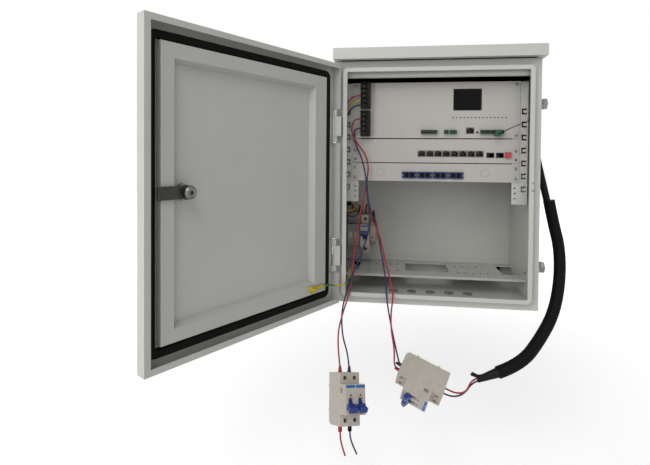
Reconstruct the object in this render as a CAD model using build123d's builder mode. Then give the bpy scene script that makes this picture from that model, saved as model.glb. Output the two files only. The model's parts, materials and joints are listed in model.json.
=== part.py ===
"""Roadside utility cabinet: sheet steel housing with a hinged door, rack units,
a shelf, rail devices and two circuit breakers that hang on their leads.

Millimetres. X runs right as seen from the front, Y runs into the cabinet and Z up.
The origin is the centre of the four wall bolt holes, on the outer back face.
"""
import os
from math import cos, pi, radians, sin, tan

from build123d import *

os.makedirs("parts", exist_ok=True)

# Housing
body_width = 350.0
body_height = 430.0
body_depth = 190.0
sheet = 1.2
bend = 1.5
rim_inset = 13.5
rim_width = 7.5
rim_reach = 12.4
rim_return = 4.5
rim_corner = 8.5
wall_bolt_x = 300.0
wall_bolt_z = 380.0
wall_bolt_radius = 4.5

# Hood over the roof
hood_side = 3.5
hood_front = 21.0
hood_height = 19.5
hood_return = 12.0
foam_thickness = 20.0

# Door and its hinge
door_open_angle = 122.0
door_width = 350.0
door_height = 418.0
door_base = 3.5
door_depth = 17.9
door_lip = 8.0
door_lip_gap = 2.4
hinge_edge = 1.0
hinge_inset = 0.6
hinge_forward = 13.0
hinge_pin_radius = 2.5
hinge_knuckle_radius = 3.5
hinge_block_height = 34.0
hinge_knuckle_height = 11.0
hinge_heights = (86.0, 314.0)
running_fit = 0.05
axial_gap = 0.4

# Door frame, gasket, lock and earth stud, measured on the door from the hinge axis
frame_left, frame_right = 29.0, 326.0
frame_low, frame_high = 31.0, 395.0
frame_bar_hinge, frame_bar_free = 28.0, 17.0
frame_bar_low, frame_bar_high = 17.0, 19.0
frame_rise = 11.0
gasket_left, gasket_right = 17.0, 341.0
gasket_low, gasket_high = 18.0, 406.5
gasket_width = 9.5
gasket_rise = 8.0
gasket_corner = 11.0
lock_across, lock_height = 294.0, 214.0
lock_body_radius = 8.0
lock_core_radius = 5.5
lock_flange_radius = 13.0
lock_nut_width = 19.0
lock_nut_thickness = 6.0
tongue_width = 16.0
tongue_reach = 38.0
tongue_thickness = 3.0
tongue_gap = 1.5
lock_cap_length = 9.5
stud_across, stud_height = 66.0, 41.0
wall_stud_y, wall_stud_height = 40.0, 100.0
stud_radius, stud_length = 3.0, 10.0
stud_nut_width, stud_nut_height = 10.0, 5.0
lug_ring_radius, lug_thickness, lug_lift = 5.0, 1.2, 3.0
lug_sleeve_radius, lug_sleeve_start = 2.7, 9.0
door_lug_end, wall_lug_end = 27.0, 20.0

# Rack rails and units
rack_setback = 30.0
panel_sheet = 1.5
panel_left, panel_right = 26.0, 324.0
rail_inner = 311.5
rail_face_width = 26.5
rail_top, rail_bottom = 396.0, 178.0
rail_web = 25.0
rail_foot_front = 4.0
rail_holes = (206.9, 197.5, 188.0)
rail_hole_radius = 1.8
lance_pitch = 23.0
lance_count = 7
lance_top = 343.0
lance_width, lance_height = 9.0, 10.5
lance_tab, lance_tab_shift = 4.6, 2.6
unit_left, unit_right = 41.0, 309.0
unit_depth = 85.0
unit_gap = 1.8
psu_top, psu_bottom = 396.5, 295.4
switch_bottom = 251.2
fibre_bottom = 217.0
fibre_depth = 60.0
display_left, display_bottom = 209.7, 346.6
display_width, display_height = 46.8, 36.1
block_left, block_width, block_rise, block_height = 42.0, 18.0, 16.0, 46.0
block_bottoms = (298.5, 349.5)
block_ways = 5
block_end = 1.0
block_step = 6.0
block_screw_inset, block_screw_radius, block_screw_rise = 6.5, 2.8, 1.6
jack_width, jack_height, jack_depth = 14.5, 11.3, 14.0
jack_mouth_width, jack_mouth_height = 11.8, 7.6
jack_sill, jack_stand, jack_back = 1.2, 0.4, 2.0
jack_latch_width, jack_latch_height = 6.0, 1.6
bank_left, bank_bottom = 146.3, 261.6
bank_ways = 8
single_jack_left, single_jack_bottom = 231.0, 303.3
cage_lefts = (266.9, 283.4)
cage_bottom, cage_width, cage_height, cage_depth = 260.4, 13.8, 9.6, 30.0
cage_wall = 0.8
cage_stand = 0.6
header_bottom, header_height, header_reach = 303.0, 7.0, 7.0
header_pitch = 3.8
header_spans = ((151.6, 28.6), (192.5, 7.4), (202.6, 11.5), (255.4, 40.4))
plug_left, plug_width, plug_height, plug_reach = 279.0, 10.5, 11.3, 8.0
supply_left, supply_width, supply_height, supply_reach = 298.6, 10.0, 10.5, 5.0
reset_x, reset_z, reset_radius, reset_travel = 250.8, 306.0, 1.6, 0.8
reset_clearance, reset_gap, reset_stand, reset_length = 0.3, 0.3, 1.0, 8.0
adapter_left, adapter_bottom, adapter_pitch = 118.1, 222.3, 27.6
adapter_width, adapter_height, adapter_depth = 20.0, 12.0, 24.0
adapter_ear = 3.4
adapter_count = 4
adapter_port, adapter_port_pitch = 7.6, 9.4
knockout_centres = ((79.0, 233.0), (265.2, 233.5))
knockout_radius = 7.5
knockout_groove = 0.6
screw_radius = 2.6
screw_rise = 1.8
screw_heights = (391.0, 301.0, 272.8, 257.5, 241.7, 223.5)
screw_x = 317.2

# Shelf and floor
shelf_top = 35.0
shelf_front = 66.0
shelf_lip = 4.6
shelf_hem = 8.0
shelf_upstand = 9.0
slot_pitch = 14.0
slot_width = 4.0
slot_length = 13.0
slot_rows = (100.0, 152.0)
slot_group_left, slot_group_right = 56.0, 231.0
window_left, window_width = 129.0, 85.0
window_front, window_depth = 100.0, 66.0
notch_width, notch_front, notch_depth = 34.0, 97.0, 70.0
grommet_radius = 7.0
grommet_rim = 1.6
grommet_pitch = 35.0
grommet_count = 5
grommet_y = 73.0

# Devices on the lower left rail
din_left, din_length, din_height = 6.0, 62.0, 100.0
din_width, din_rise, din_sheet = 35.0, 7.5, 1.0
din_grip = 1.5
pole_pitch = 18.0
breaker_height = 80.0
shoulder_depth = 45.0
raised_depth = 66.0
raised_low, raised_high = 17.5, 62.5
well_radius, well_depth, well_back = 2.9, 6.0, 25.0
screw_inset, breaker_screw_radius, breaker_screw_depth = 8.5, 2.6, 4.0
breaker_screw_rise, screw_clearance = 1.8, 0.2
toggle_width, toggle_thickness, toggle_reach, toggle_bar = 7.0, 5.0, 12.0, 4.0
toggle_hub, toggle_clearance, toggle_swing = 4.5, 0.4, 30.0
pivot_depth, pivot_height, pocket_half = 60.0, 36.0, 7.4
branch_left = 36.5
arrester_left, arrester_width, arrester_height, arrester_depth = 8.5, 27.0, 90.0, 60.0
rail_terminal_left, rail_terminal_width = 55.5, 10.5

# Side fittings
side_bolt_heights = (353.5, 72.5)
side_bolt_y = 13.0
side_bolt_width, side_bolt_head, side_bolt_nut = 17.0, 6.5, 4.0
side_bolt_flange, side_bolt_radius = 12.0, 4.0
bolt_clearance = 0.25
elbow_height, elbow_y = 300.0, 76.0
elbow_radius, elbow_neck, elbow_reach, elbow_nut = 13.0, 10.0, 16.0, 5.0
boot_tip = 11.0
sleeve_start = (388.5, 72.0, 183.0)
sleeve_tip = (280.0, -22.0, -100.0)
wrap_tip = (246.0, -27.0, -112.0)
junction_y, junction_bottom = 95.0, 175.0
junction_reach, junction_depth, junction_height = 20.8, 30.0, 25.0
plug_drop = 13.0
probe_front, probe_height, probe_radius, probe_length = 24.0, 333.0, 2.5, 18.0

# Leads
lead_diameter = 2.8
link_diameter = 2.6
sensor_diameter = 1.4
bond_diameter = 3.0
sleeve_diameter = 20.0

left = -body_width / 2
front = -body_depth
bottom = -body_height / 2
top = body_height / 2
inner_front = front + sheet
rack_front = front + rack_setback


def corner(x, y, z):
    """A point measured from the left, front, bottom corner of the body."""
    return (left + x, front + y, bottom + z)


def front_plane(setback):
    """Upright plane that faces the front, its origin at the lower left corner."""
    return Plane(corner(0, setback, 0), x_dir=(1, 0, 0), z_dir=(0, -1, 0))


def box_sketch(x_low, z_low, x_high, z_high):
    """Rectangle between two corners of the sketch plane."""
    with Locations(((x_low + x_high) / 2, (z_low + z_high) / 2)):
        Rectangle(x_high - x_low, z_high - z_low)


# Cabinet shell: folded body, front flange and rain rim
back_plane = Plane.XZ
with BuildPart() as cabinet_shell:
    with BuildSketch(back_plane):
        Rectangle(body_width, body_height)
    extrude(amount=body_depth)
    fillet(cabinet_shell.edges().filter_by(Axis.Y), bend)
    with BuildSketch(back_plane.offset(sheet)):
        Rectangle(body_width - 2 * sheet, body_height - 2 * sheet)
    extrude(amount=body_depth - 2 * sheet, mode=Mode.SUBTRACT)
    mouth_inset = rim_inset + sheet
    with BuildSketch(back_plane.offset(body_depth - sheet)):
        RectangleRounded(body_width - 2 * mouth_inset, body_height - 2 * mouth_inset, rim_corner - sheet)
    extrude(amount=sheet, mode=Mode.SUBTRACT)
    rim_inner = rim_inset + rim_width
    with BuildSketch(back_plane.offset(body_depth)):
        RectangleRounded(body_width - 2 * rim_inset, body_height - 2 * rim_inset, rim_corner)
        RectangleRounded(body_width - 2 * rim_inner, body_height - 2 * rim_inner,
                         rim_corner - rim_width, mode=Mode.SUBTRACT)
    extrude(amount=rim_reach)
    with BuildSketch(back_plane.offset(body_depth)):
        RectangleRounded(body_width - 2 * mouth_inset, body_height - 2 * mouth_inset, rim_corner - sheet)
        RectangleRounded(body_width - 2 * (rim_inner - sheet), body_height - 2 * (rim_inner - sheet),
                         rim_corner - rim_width + sheet, mode=Mode.SUBTRACT)
    extrude(amount=rim_reach - sheet, mode=Mode.SUBTRACT)
    with BuildSketch(back_plane.offset(body_depth)):
        RectangleRounded(body_width - 2 * mouth_inset, body_height - 2 * mouth_inset, rim_corner - sheet)
    extrude(amount=rim_reach - rim_return, mode=Mode.SUBTRACT)
    rim_edges = cabinet_shell.faces().sort_by(Axis.Y)[0].edges()
    fillet(rim_edges, sheet * 0.7)
    with BuildSketch(back_plane):
        with GridLocations(wall_bolt_x, wall_bolt_z, 2, 2):
            Circle(wall_bolt_radius)
    extrude(amount=sheet, mode=Mode.SUBTRACT)
    right_wall = Plane(corner(body_width, 0, 0), x_dir=(0, 1, 0), z_dir=(1, 0, 0))
    with BuildSketch(right_wall):
        with Locations(*[(side_bolt_y, height) for height in side_bolt_heights]):
            Circle(side_bolt_radius + bolt_clearance)
    extrude(amount=-body_width, mode=Mode.SUBTRACT)
    with BuildSketch(right_wall):
        with Locations((elbow_y, elbow_height)):
            Circle(elbow_neck + bolt_clearance)
    extrude(amount=-sheet, mode=Mode.SUBTRACT)
    floor_plane = Plane(corner(0, 0, 0), x_dir=(1, 0, 0), z_dir=(0, 0, 1))
    with BuildSketch(floor_plane):
        with Locations((body_width / 2, grommet_y)):
            with GridLocations(grommet_pitch, 1, grommet_count, 1):
                Circle(grommet_radius)
    extrude(amount=sheet, mode=Mode.SUBTRACT)
cabinet_shell.part.label = "cabinet_shell"
export_step(cabinet_shell.part, "parts/cabinet_shell.step")

# Hood: an upturned tray whose returned edges rest on the roof
hood_width = body_width + 2 * hood_side
hood_depth = body_depth + hood_front
hood_plane = Plane((0, front - hood_front + hood_depth / 2, top))
with BuildPart() as roof_hood:
    with BuildSketch(hood_plane):
        Rectangle(hood_width, hood_depth)
    extrude(amount=hood_height)
    fillet(roof_hood.faces().sort_by(Axis.Z)[-1].edges(), bend)
    with BuildSketch(hood_plane.offset(sheet)):
        Rectangle(hood_width - 2 * sheet, hood_depth - 2 * sheet)
    extrude(amount=hood_height - 2 * sheet, mode=Mode.SUBTRACT)
    with BuildSketch(hood_plane):
        Rectangle(hood_width - 2 * hood_return, hood_depth - 2 * hood_return)
    extrude(amount=sheet, mode=Mode.SUBTRACT)
roof_hood.part.label = "roof_hood"
export_step(roof_hood.part, "parts/roof_hood.step")

# Foam sheet glued under the roof
foam_plane = Plane(corner(body_width / 2, body_depth / 2, body_height - sheet - foam_thickness))
with BuildPart() as ceiling_foam:
    with BuildSketch(foam_plane):
        Rectangle(body_width - 2 * sheet - 1, body_depth - 2 * sheet - 1)
    extrude(amount=foam_thickness)
    fillet(ceiling_foam.edges().filter_by(Axis.Z), 2)
ceiling_foam.part.label = "ceiling_foam"
export_step(ceiling_foam.part, "parts/ceiling_foam.step")

# Door plane: x runs from the hinge to the free edge, y up, z out of the door
turn = radians(door_open_angle)
hinge_foot = corner(hinge_inset, -hinge_forward, 0)
door_plane = Plane(hinge_foot, x_dir=(cos(turn), -sin(turn), 0), z_dir=(-sin(turn), -cos(turn), 0))
lip_level = -(hinge_forward - door_lip_gap)
skin_level = lip_level + door_depth
floor_level = skin_level - sheet
door_free = door_width - hinge_edge
door_top = door_base + door_height
hinge_notch = hinge_block_height / 2 + hinge_knuckle_height + 1.5

with BuildPart() as door_panel:
    with BuildSketch(door_plane.offset(lip_level)):
        box_sketch(-hinge_edge, door_base, door_free, door_top)
    extrude(amount=door_depth)
    skin_edges = door_panel.faces().sort_by(Axis((0, 0, 0), door_plane.z_dir))[-1].edges()
    fillet(skin_edges, bend)
    with BuildSketch(door_plane.offset(lip_level + sheet)):
        box_sketch(-hinge_edge + sheet, door_base + sheet, door_free - sheet, door_top - sheet)
    extrude(amount=door_depth - 2 * sheet, mode=Mode.SUBTRACT)
    with BuildSketch(door_plane.offset(lip_level)):
        box_sketch(-hinge_edge + sheet, door_base + door_lip, door_free - door_lip, door_top - door_lip)
    extrude(amount=sheet, mode=Mode.SUBTRACT)
    with BuildSketch(door_plane.offset(lip_level)):
        for height in hinge_heights:
            box_sketch(-hinge_edge, height - hinge_notch, -hinge_edge + sheet, height + hinge_notch)
    extrude(amount=door_depth - sheet, mode=Mode.SUBTRACT)
    with BuildSketch(door_plane.offset(skin_level)):
        with Locations((lock_across, lock_height)):
            Circle(lock_body_radius + running_fit)
    extrude(amount=-sheet, mode=Mode.SUBTRACT)
    edge_plane = Plane(door_plane.from_local_coords((door_free, 0, lip_level)),
                       x_dir=door_plane.z_dir, z_dir=-door_plane.x_dir)
    with BuildSketch(edge_plane):
        for low, high in ((336.0, 361.0), (63.0, 81.0)):
            with BuildLine():
                Polyline((2.0, -low - 5), (9.0, -low), (9.0, -high), (2.0, -high + 5), close=True)
            make_face()
    extrude(amount=sheet / 2, mode=Mode.SUBTRACT)
door_panel.part.label = "door_panel"
export_step(door_panel.part, "parts/door_panel.step")

# Stiffening frame: a raised hat section with sloped inner walls, welded inside the door
frame_plane = door_plane.offset(floor_level)
opening_left = frame_left + frame_bar_hinge
opening_right = frame_right - frame_bar_free
opening_low = frame_low + frame_bar_low
opening_high = frame_high - frame_bar_high
wall_slope = 24.0
slope_run = frame_rise * tan(radians(wall_slope))
with BuildPart() as door_frame:
    with BuildSketch(frame_plane):
        box_sketch(frame_left, frame_low, frame_right, frame_high)
    extrude(amount=-frame_rise)
    face_edges = door_frame.faces().sort_by(Axis((0, 0, 0), door_plane.z_dir))[0].edges()
    fillet(face_edges, bend)
    with BuildSketch(frame_plane.offset(-frame_rise)):
        box_sketch(opening_left, opening_low, opening_right, opening_high)
    extrude(amount=frame_rise, taper=wall_slope, mode=Mode.SUBTRACT)
    with BuildSketch(frame_plane):
        box_sketch(frame_left + sheet, frame_low + sheet, frame_right - sheet, frame_high - sheet)
        with Locations(((opening_left + opening_right) / 2, (opening_low + opening_high) / 2)):
            Rectangle(opening_right - opening_left + 2 * sheet, opening_high - opening_low + 2 * sheet,
                      mode=Mode.SUBTRACT)
    extrude(amount=-(frame_rise - sheet), mode=Mode.SUBTRACT)
door_frame.part.label = "door_frame"
export_step(door_frame.part, "parts/door_frame.step")

# Foam gasket ring
with BuildPart() as door_gasket:
    with BuildSketch(frame_plane):
        with Locations(((gasket_left + gasket_right) / 2, (gasket_low + gasket_high) / 2)):
            RectangleRounded(gasket_right - gasket_left, gasket_high - gasket_low, gasket_corner)
            RectangleRounded(gasket_right - gasket_left - 2 * gasket_width,
                             gasket_high - gasket_low - 2 * gasket_width,
                             gasket_corner - gasket_width, mode=Mode.SUBTRACT)
    extrude(amount=-gasket_rise)
door_gasket.part.label = "door_gasket"
export_step(door_gasket.part, "parts/door_gasket.step")

# Hinges: a block on the body, a leaf with two knuckles on the door, a pin through all
block_half = hinge_block_height / 2
with BuildPart() as hinge_blocks:
    for height in hinge_heights:
        with BuildSketch(Plane(corner(0, 0, height - block_half))):
            with BuildLine():
                knuckle_left = hinge_inset - hinge_knuckle_radius
                block_right = rim_inset - 2.3
                block_front = -hinge_forward - hinge_knuckle_radius
                Polyline((knuckle_left, 0), (block_right, 0), (block_right, block_front),
                         (knuckle_left, block_front), close=True)
            make_face()
            fillet(vertices().group_by(Axis.Y)[0].sort_by(Axis.X)[0], hinge_knuckle_radius - 0.1)
            with Locations((hinge_inset, -hinge_forward)):
                Circle(hinge_pin_radius + running_fit, mode=Mode.SUBTRACT)
        extrude(amount=hinge_block_height)
hinge_blocks.part.label = "hinge_blocks"
export_step(hinge_blocks.part, "parts/hinge_blocks.step")

leaf_half = block_half + axial_gap + hinge_knuckle_height
with BuildPart() as hinge_leaves:
    for height in hinge_heights:
        with BuildSketch(door_plane.offset(floor_level)):
            box_sketch(hinge_knuckle_radius, height - leaf_half, gasket_left - 1, height + leaf_half)
        extrude(amount=-2.0)
        for base in (height - leaf_half, height + block_half + axial_gap):
            knuckle_plane = Plane(door_plane.from_local_coords((0, base, 0)), x_dir=door_plane.x_dir,
                                  z_dir=(0, 0, 1))
            with BuildSketch(knuckle_plane):
                Circle(hinge_knuckle_radius)
                with Locations((hinge_knuckle_radius, -floor_level / 2)):
                    Rectangle(2 * hinge_knuckle_radius, floor_level)
                Circle(hinge_pin_radius, mode=Mode.SUBTRACT)
            extrude(amount=hinge_knuckle_height)
hinge_leaves.part.label = "hinge_leaves"
export_step(hinge_leaves.part, "parts/hinge_leaves.step")

with BuildPart() as hinge_pins:
    for height in hinge_heights:
        with BuildSketch(Plane(corner(hinge_inset, -hinge_forward, height - leaf_half))):
            Circle(hinge_pin_radius)
        extrude(amount=2 * leaf_half)
    chamfer(hinge_pins.faces().filter_by(Axis.Z).edges(), 0.5)
hinge_pins.part.label = "hinge_pins"
export_step(hinge_pins.part, "parts/hinge_pins.step")

# Quarter turn lock
lock_end = lip_level + door_depth - 25.0
lock_plane = Plane(door_plane.from_local_coords((lock_across, lock_height, 0)),
                   x_dir=door_plane.x_dir, z_dir=door_plane.z_dir)
nut_inner = floor_level - lock_nut_thickness
tongue_back = -frame_rise + floor_level - tongue_gap
body_end = tongue_back + 0.3
with BuildPart() as lock_body:
    with BuildSketch(lock_plane.offset(body_end)):
        Circle(lock_body_radius)
    extrude(amount=skin_level - body_end)
    with BuildSketch(lock_plane.offset(skin_level)):
        Circle(lock_flange_radius)
    extrude(amount=2.5)
    chamfer(lock_body.faces().sort_by(Axis((0, 0, 0), door_plane.z_dir))[-1].edges(), 1.0)
    with BuildSketch(lock_plane.offset(body_end)):
        Circle(lock_core_radius + running_fit)
    extrude(amount=skin_level + 2.5 - body_end, mode=Mode.SUBTRACT)
lock_body.part.label = "lock_body"
export_step(lock_body.part, "parts/lock_body.step")

with BuildPart() as lock_nut:
    with BuildSketch(lock_plane.offset(nut_inner)):
        RegularPolygon(lock_nut_width / 2, 6, major_radius=False, rotation=30)
        Circle(lock_body_radius, mode=Mode.SUBTRACT)
    extrude(amount=lock_nut_thickness)
lock_nut.part.label = "lock_nut"
export_step(lock_nut.part, "parts/lock_nut.step")

with BuildPart() as lock_core:
    with BuildSketch(lock_plane.offset(tongue_back)):
        Circle(lock_core_radius)
    extrude(amount=skin_level + 2.0 - tongue_back)
    with BuildSketch(lock_plane.offset(skin_level + 2.0)):
        RegularPolygon(3.6, 3)
    extrude(amount=-5.0, mode=Mode.SUBTRACT)
lock_core.part.label = "lock_core"
export_step(lock_core.part, "parts/lock_core.step")

with BuildPart() as lock_tongue:
    with BuildSketch(lock_plane.offset(tongue_back)):
        with Locations((tongue_reach / 2 - 4, 0)):
            RectangleRounded(tongue_reach + 8, tongue_width, 2.0)
        Circle(tongue_width / 2 + 1.0)
    extrude(amount=-tongue_thickness)
    tip = lock_tongue.faces().sort_by(Axis((0, 0, 0), door_plane.x_dir))[-1]
    chamfer(tip.edges().filter_by(Axis.Z), 0.8)
lock_tongue.part.label = "lock_tongue"
export_step(lock_tongue.part, "parts/lock_tongue.step")

with BuildPart() as lock_cap:
    with BuildSketch(lock_plane.offset(tongue_back - tongue_thickness)):
        Circle(tongue_width / 2)
    extrude(amount=-lock_cap_length)
    cap_face = lock_cap.faces().sort_by(Axis((0, 0, 0), door_plane.z_dir))[0]
    chamfer(cap_face.edges(), 2.0)
    with BuildSketch(lock_plane.offset(tongue_back - tongue_thickness - lock_cap_length)):
        RegularPolygon(3.0, 6)
    extrude(amount=4.0, mode=Mode.SUBTRACT)
lock_cap.part.label = "lock_cap"
export_step(lock_cap.part, "parts/lock_cap.step")

# Earth terminals on the door frame and on the left wall: stud, nut and crimped ring lug
face_level = floor_level - frame_rise
door_stud_plane = Plane(door_plane.from_local_coords((stud_across, stud_height, face_level)),
                        x_dir=-door_plane.x_dir, z_dir=-door_plane.z_dir)
wall_stud_plane = Plane(corner(sheet, wall_stud_y, wall_stud_height), x_dir=(0, 0, -1), z_dir=(1, 0, 0))
for name, plane, lug_end in (("door_terminal", door_stud_plane, door_lug_end),
                             ("wall_terminal", wall_stud_plane, wall_lug_end)):
    with BuildPart() as terminal:
        with BuildSketch(plane):
            Circle(stud_radius)
        extrude(amount=stud_length)
        with BuildSketch(plane.offset(lug_thickness)):
            RegularPolygon(stud_nut_width / 2, 6, major_radius=False)
        extrude(amount=stud_nut_height)
        with BuildSketch(plane):
            Circle(lug_ring_radius)
            Rectangle(lug_sleeve_start, lug_ring_radius, align=(Align.MIN, Align.CENTER))
        extrude(amount=lug_thickness)
        sleeve_plane = Plane(plane.from_local_coords((lug_sleeve_start - 1, 0, lug_lift)),
                             x_dir=plane.y_dir, z_dir=plane.x_dir)
        with BuildSketch(sleeve_plane):
            Circle(lug_sleeve_radius)
        extrude(amount=lug_end - lug_sleeve_start + 1)
    terminal.part.label = name
    export_step(terminal.part, f"parts/{name}.step")

# Equipment rails with C shaped lances, one folded strip each side
rail_outer = rail_inner + rail_face_width
rail_face = rack_setback + panel_sheet
foot_inside = body_width - sheet - panel_sheet
rail_points = [(rail_inner, rail_face), (rail_outer, rail_face), (rail_outer, rail_face + rail_web),
               (foot_inside, rail_face + rail_web), (foot_inside, rail_foot_front)]
lance_x = rail_outer - 6.5
lance_heights = [lance_top - number * lance_pitch for number in range(lance_count)]
side_bolt_hole = side_bolt_radius + bolt_clearance
with BuildPart() as equipment_rails:
    with BuildSketch(Plane(corner(0, 0, rail_bottom))):
        with BuildLine():
            Polyline(*rail_points)
            offset(amount=panel_sheet, side=Side.LEFT, kind=Kind.INTERSECTION)
        make_face()
    extrude(amount=rail_top - rail_bottom)
    with BuildSketch(front_plane(rail_face)):
        with Locations(*[(lance_x, height) for height in lance_heights]):
            Rectangle(lance_width, lance_height)
        with Locations(*[(lance_x + lance_tab_shift, height) for height in lance_heights]):
            Rectangle(lance_width, lance_tab, mode=Mode.SUBTRACT)
        with Locations(*[(rail_inner + 5.5, height) for height in rail_holes]):
            Circle(rail_hole_radius)
    extrude(amount=-panel_sheet, mode=Mode.SUBTRACT)
    with BuildSketch(Plane(corner(foot_inside, 0, 0), x_dir=(0, 1, 0), z_dir=(1, 0, 0))):
        with Locations((side_bolt_y, side_bolt_heights[0])):
            Circle(side_bolt_hole)
    extrude(amount=panel_sheet, mode=Mode.SUBTRACT)
    mirror(about=Plane.YZ)
equipment_rails.part.label = "equipment_rails"
export_step(equipment_rails.part, "parts/equipment_rails.step")

# Side bolts: cone washer and hexagon head outside, shank through the wall, nut inside
with BuildPart() as side_bolts:
    for height, carrier in zip(side_bolt_heights, (sheet + panel_sheet, sheet)):
        bolt_plane = Plane(corner(body_width, side_bolt_y, height), x_dir=(0, 1, 0), z_dir=(1, 0, 0))
        with BuildSketch(bolt_plane):
            Circle(side_bolt_flange)
        extrude(amount=5.0, taper=35)
        with BuildSketch(bolt_plane.offset(5.0)):
            RegularPolygon(side_bolt_width / 2, 6, major_radius=False)
        extrude(amount=side_bolt_head)
        with BuildSketch(bolt_plane.offset(-carrier)):
            RegularPolygon(side_bolt_width / 2 - 2, 6, major_radius=False)
        extrude(amount=-side_bolt_nut)
        with BuildSketch(bolt_plane.offset(-carrier - side_bolt_nut)):
            Circle(side_bolt_radius)
        extrude(amount=carrier + side_bolt_nut)
    mirror(about=Plane.YZ)
side_bolts.part.label = "side_bolts"
export_step(side_bolts.part, "parts/side_bolts.step")

# Power unit: closed chassis with a separate front sheet
unit_front = rack_setback + panel_sheet
jack_room = 0.2
with BuildPart() as psu_chassis:
    with BuildSketch(front_plane(unit_front)):
        box_sketch(unit_left, psu_bottom + 1, unit_right, psu_top - 1)
    extrude(amount=-unit_depth)
    fillet(psu_chassis.edges().filter_by(Axis.Y), bend)
    with BuildSketch(front_plane(unit_front)):
        box_sketch(single_jack_left - jack_room, single_jack_bottom - jack_room,
                   single_jack_left + jack_width + jack_room, single_jack_bottom + jack_height + jack_room)
    extrude(amount=-jack_depth, mode=Mode.SUBTRACT)
    with BuildSketch(front_plane(unit_front)):
        with Locations((reset_x, reset_z)):
            Circle(reset_radius + reset_clearance)
    extrude(amount=-reset_length, mode=Mode.SUBTRACT)
psu_chassis.part.label = "psu_chassis"
export_step(psu_chassis.part, "parts/psu_chassis.step")

with BuildPart() as psu_faceplate:
    with BuildSketch(front_plane(rack_setback)):
        box_sketch(panel_left, psu_bottom, panel_right, psu_top)
    extrude(amount=-panel_sheet)
    with BuildSketch(front_plane(rack_setback)):
        box_sketch(display_left, display_bottom, display_left + display_width,
                   display_bottom + display_height)
        box_sketch(single_jack_left - jack_room, single_jack_bottom - jack_room,
                   single_jack_left + jack_width + jack_room, single_jack_bottom + jack_height + jack_room)
        with Locations((reset_x, reset_z)):
            Circle(reset_radius + reset_clearance)
    extrude(amount=-panel_sheet, mode=Mode.SUBTRACT)
psu_faceplate.part.label = "psu_faceplate"
export_step(psu_faceplate.part, "parts/psu_faceplate.step")

with BuildPart() as display_window:
    with BuildSketch(front_plane(rack_setback + 0.4)):
        box_sketch(display_left, display_bottom, display_left + display_width,
                   display_bottom + display_height)
    extrude(amount=-(panel_sheet - 0.4))
display_window.part.label = "display_window"
export_step(display_window.part, "parts/display_window.step")

# Barrier terminal blocks: a moulded strip with walls between the ways
way_height = (block_height - 2 * block_end) / block_ways
with BuildPart() as terminal_blocks:
    with BuildSketch(front_plane(rack_setback)):
        for base in block_bottoms:
            box_sketch(block_left, base, block_left + block_width, base + block_height)
    extrude(amount=block_rise)
    with BuildSketch(front_plane(rack_setback - block_rise)):
        for base in block_bottoms:
            for way in range(block_ways):
                low = base + block_end + way * way_height + 0.8
                box_sketch(block_left, low, block_left + block_width - 5.0, low + way_height - 1.6)
    extrude(amount=-block_step, mode=Mode.SUBTRACT)
terminal_blocks.part.label = "terminal_blocks"
export_step(terminal_blocks.part, "parts/terminal_blocks.step")

# Network jacks: one in the power unit, and a bank of eight in the switch
jack_setback = rack_setback - jack_stand
bank_width = bank_ways * jack_width
jack_rows = ((single_jack_left, single_jack_bottom, 1), (bank_left, bank_bottom, bank_ways))
with BuildPart() as network_jacks:
    for row_left, row_bottom, ways in jack_rows:
        with BuildSketch(front_plane(jack_setback)):
            box_sketch(row_left, row_bottom, row_left + ways * jack_width, row_bottom + jack_height)
        extrude(amount=-jack_depth)
        with BuildSketch(front_plane(jack_setback)):
            with Locations((row_left + ways * jack_width / 2, row_bottom + jack_sill)):
                with GridLocations(jack_width, 1, ways, 1):
                    Rectangle(jack_mouth_width, jack_mouth_height, align=(Align.CENTER, Align.MIN))
                    Rectangle(jack_latch_width, jack_mouth_height + jack_latch_height,
                              align=(Align.CENTER, Align.MIN))
        extrude(amount=-(jack_depth - jack_back), mode=Mode.SUBTRACT)
network_jacks.part.label = "network_jacks"
export_step(network_jacks.part, "parts/network_jacks.step")

# Pluggable terminal headers, one with its plug
plug_front = rack_setback - header_reach - plug_reach
plug_top = header_bottom + header_height
with BuildPart() as green_connectors:
    with BuildSketch(front_plane(rack_setback)):
        for header_left, header_width in header_spans:
            box_sketch(header_left, header_bottom, header_left + header_width,
                       header_bottom + header_height)
    extrude(amount=header_reach)
    with BuildSketch(front_plane(rack_setback - header_reach)):
        for header_left, header_width in header_spans:
            ways = max(2, round(header_width / header_pitch))
            middle = (header_left + header_width / 2, header_bottom + header_height / 2)
            with Locations(middle):
                with GridLocations(header_width / ways, 1, ways, 1):
                    Rectangle(header_width / ways - 1.2, header_height - 2.0)
    extrude(amount=-2.5, mode=Mode.SUBTRACT)
    with BuildSketch(front_plane(rack_setback - header_reach)):
        box_sketch(plug_left, plug_top - plug_height, plug_left + plug_width, plug_top)
    extrude(amount=plug_reach)
green_connectors.part.label = "green_connectors"
export_step(green_connectors.part, "parts/green_connectors.step")

with BuildPart() as reset_button:
    with BuildSketch(front_plane(rack_setback - reset_stand)):
        with Locations((reset_x, reset_z)):
            Circle(reset_radius)
    extrude(amount=-(reset_stand + panel_sheet + reset_length - reset_travel - reset_gap))
    fillet(reset_button.faces().sort_by(Axis.Y)[0].edges(), 0.5)
reset_button.part.label = "reset_button"
export_step(reset_button.part, "parts/reset_button.step")

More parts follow.
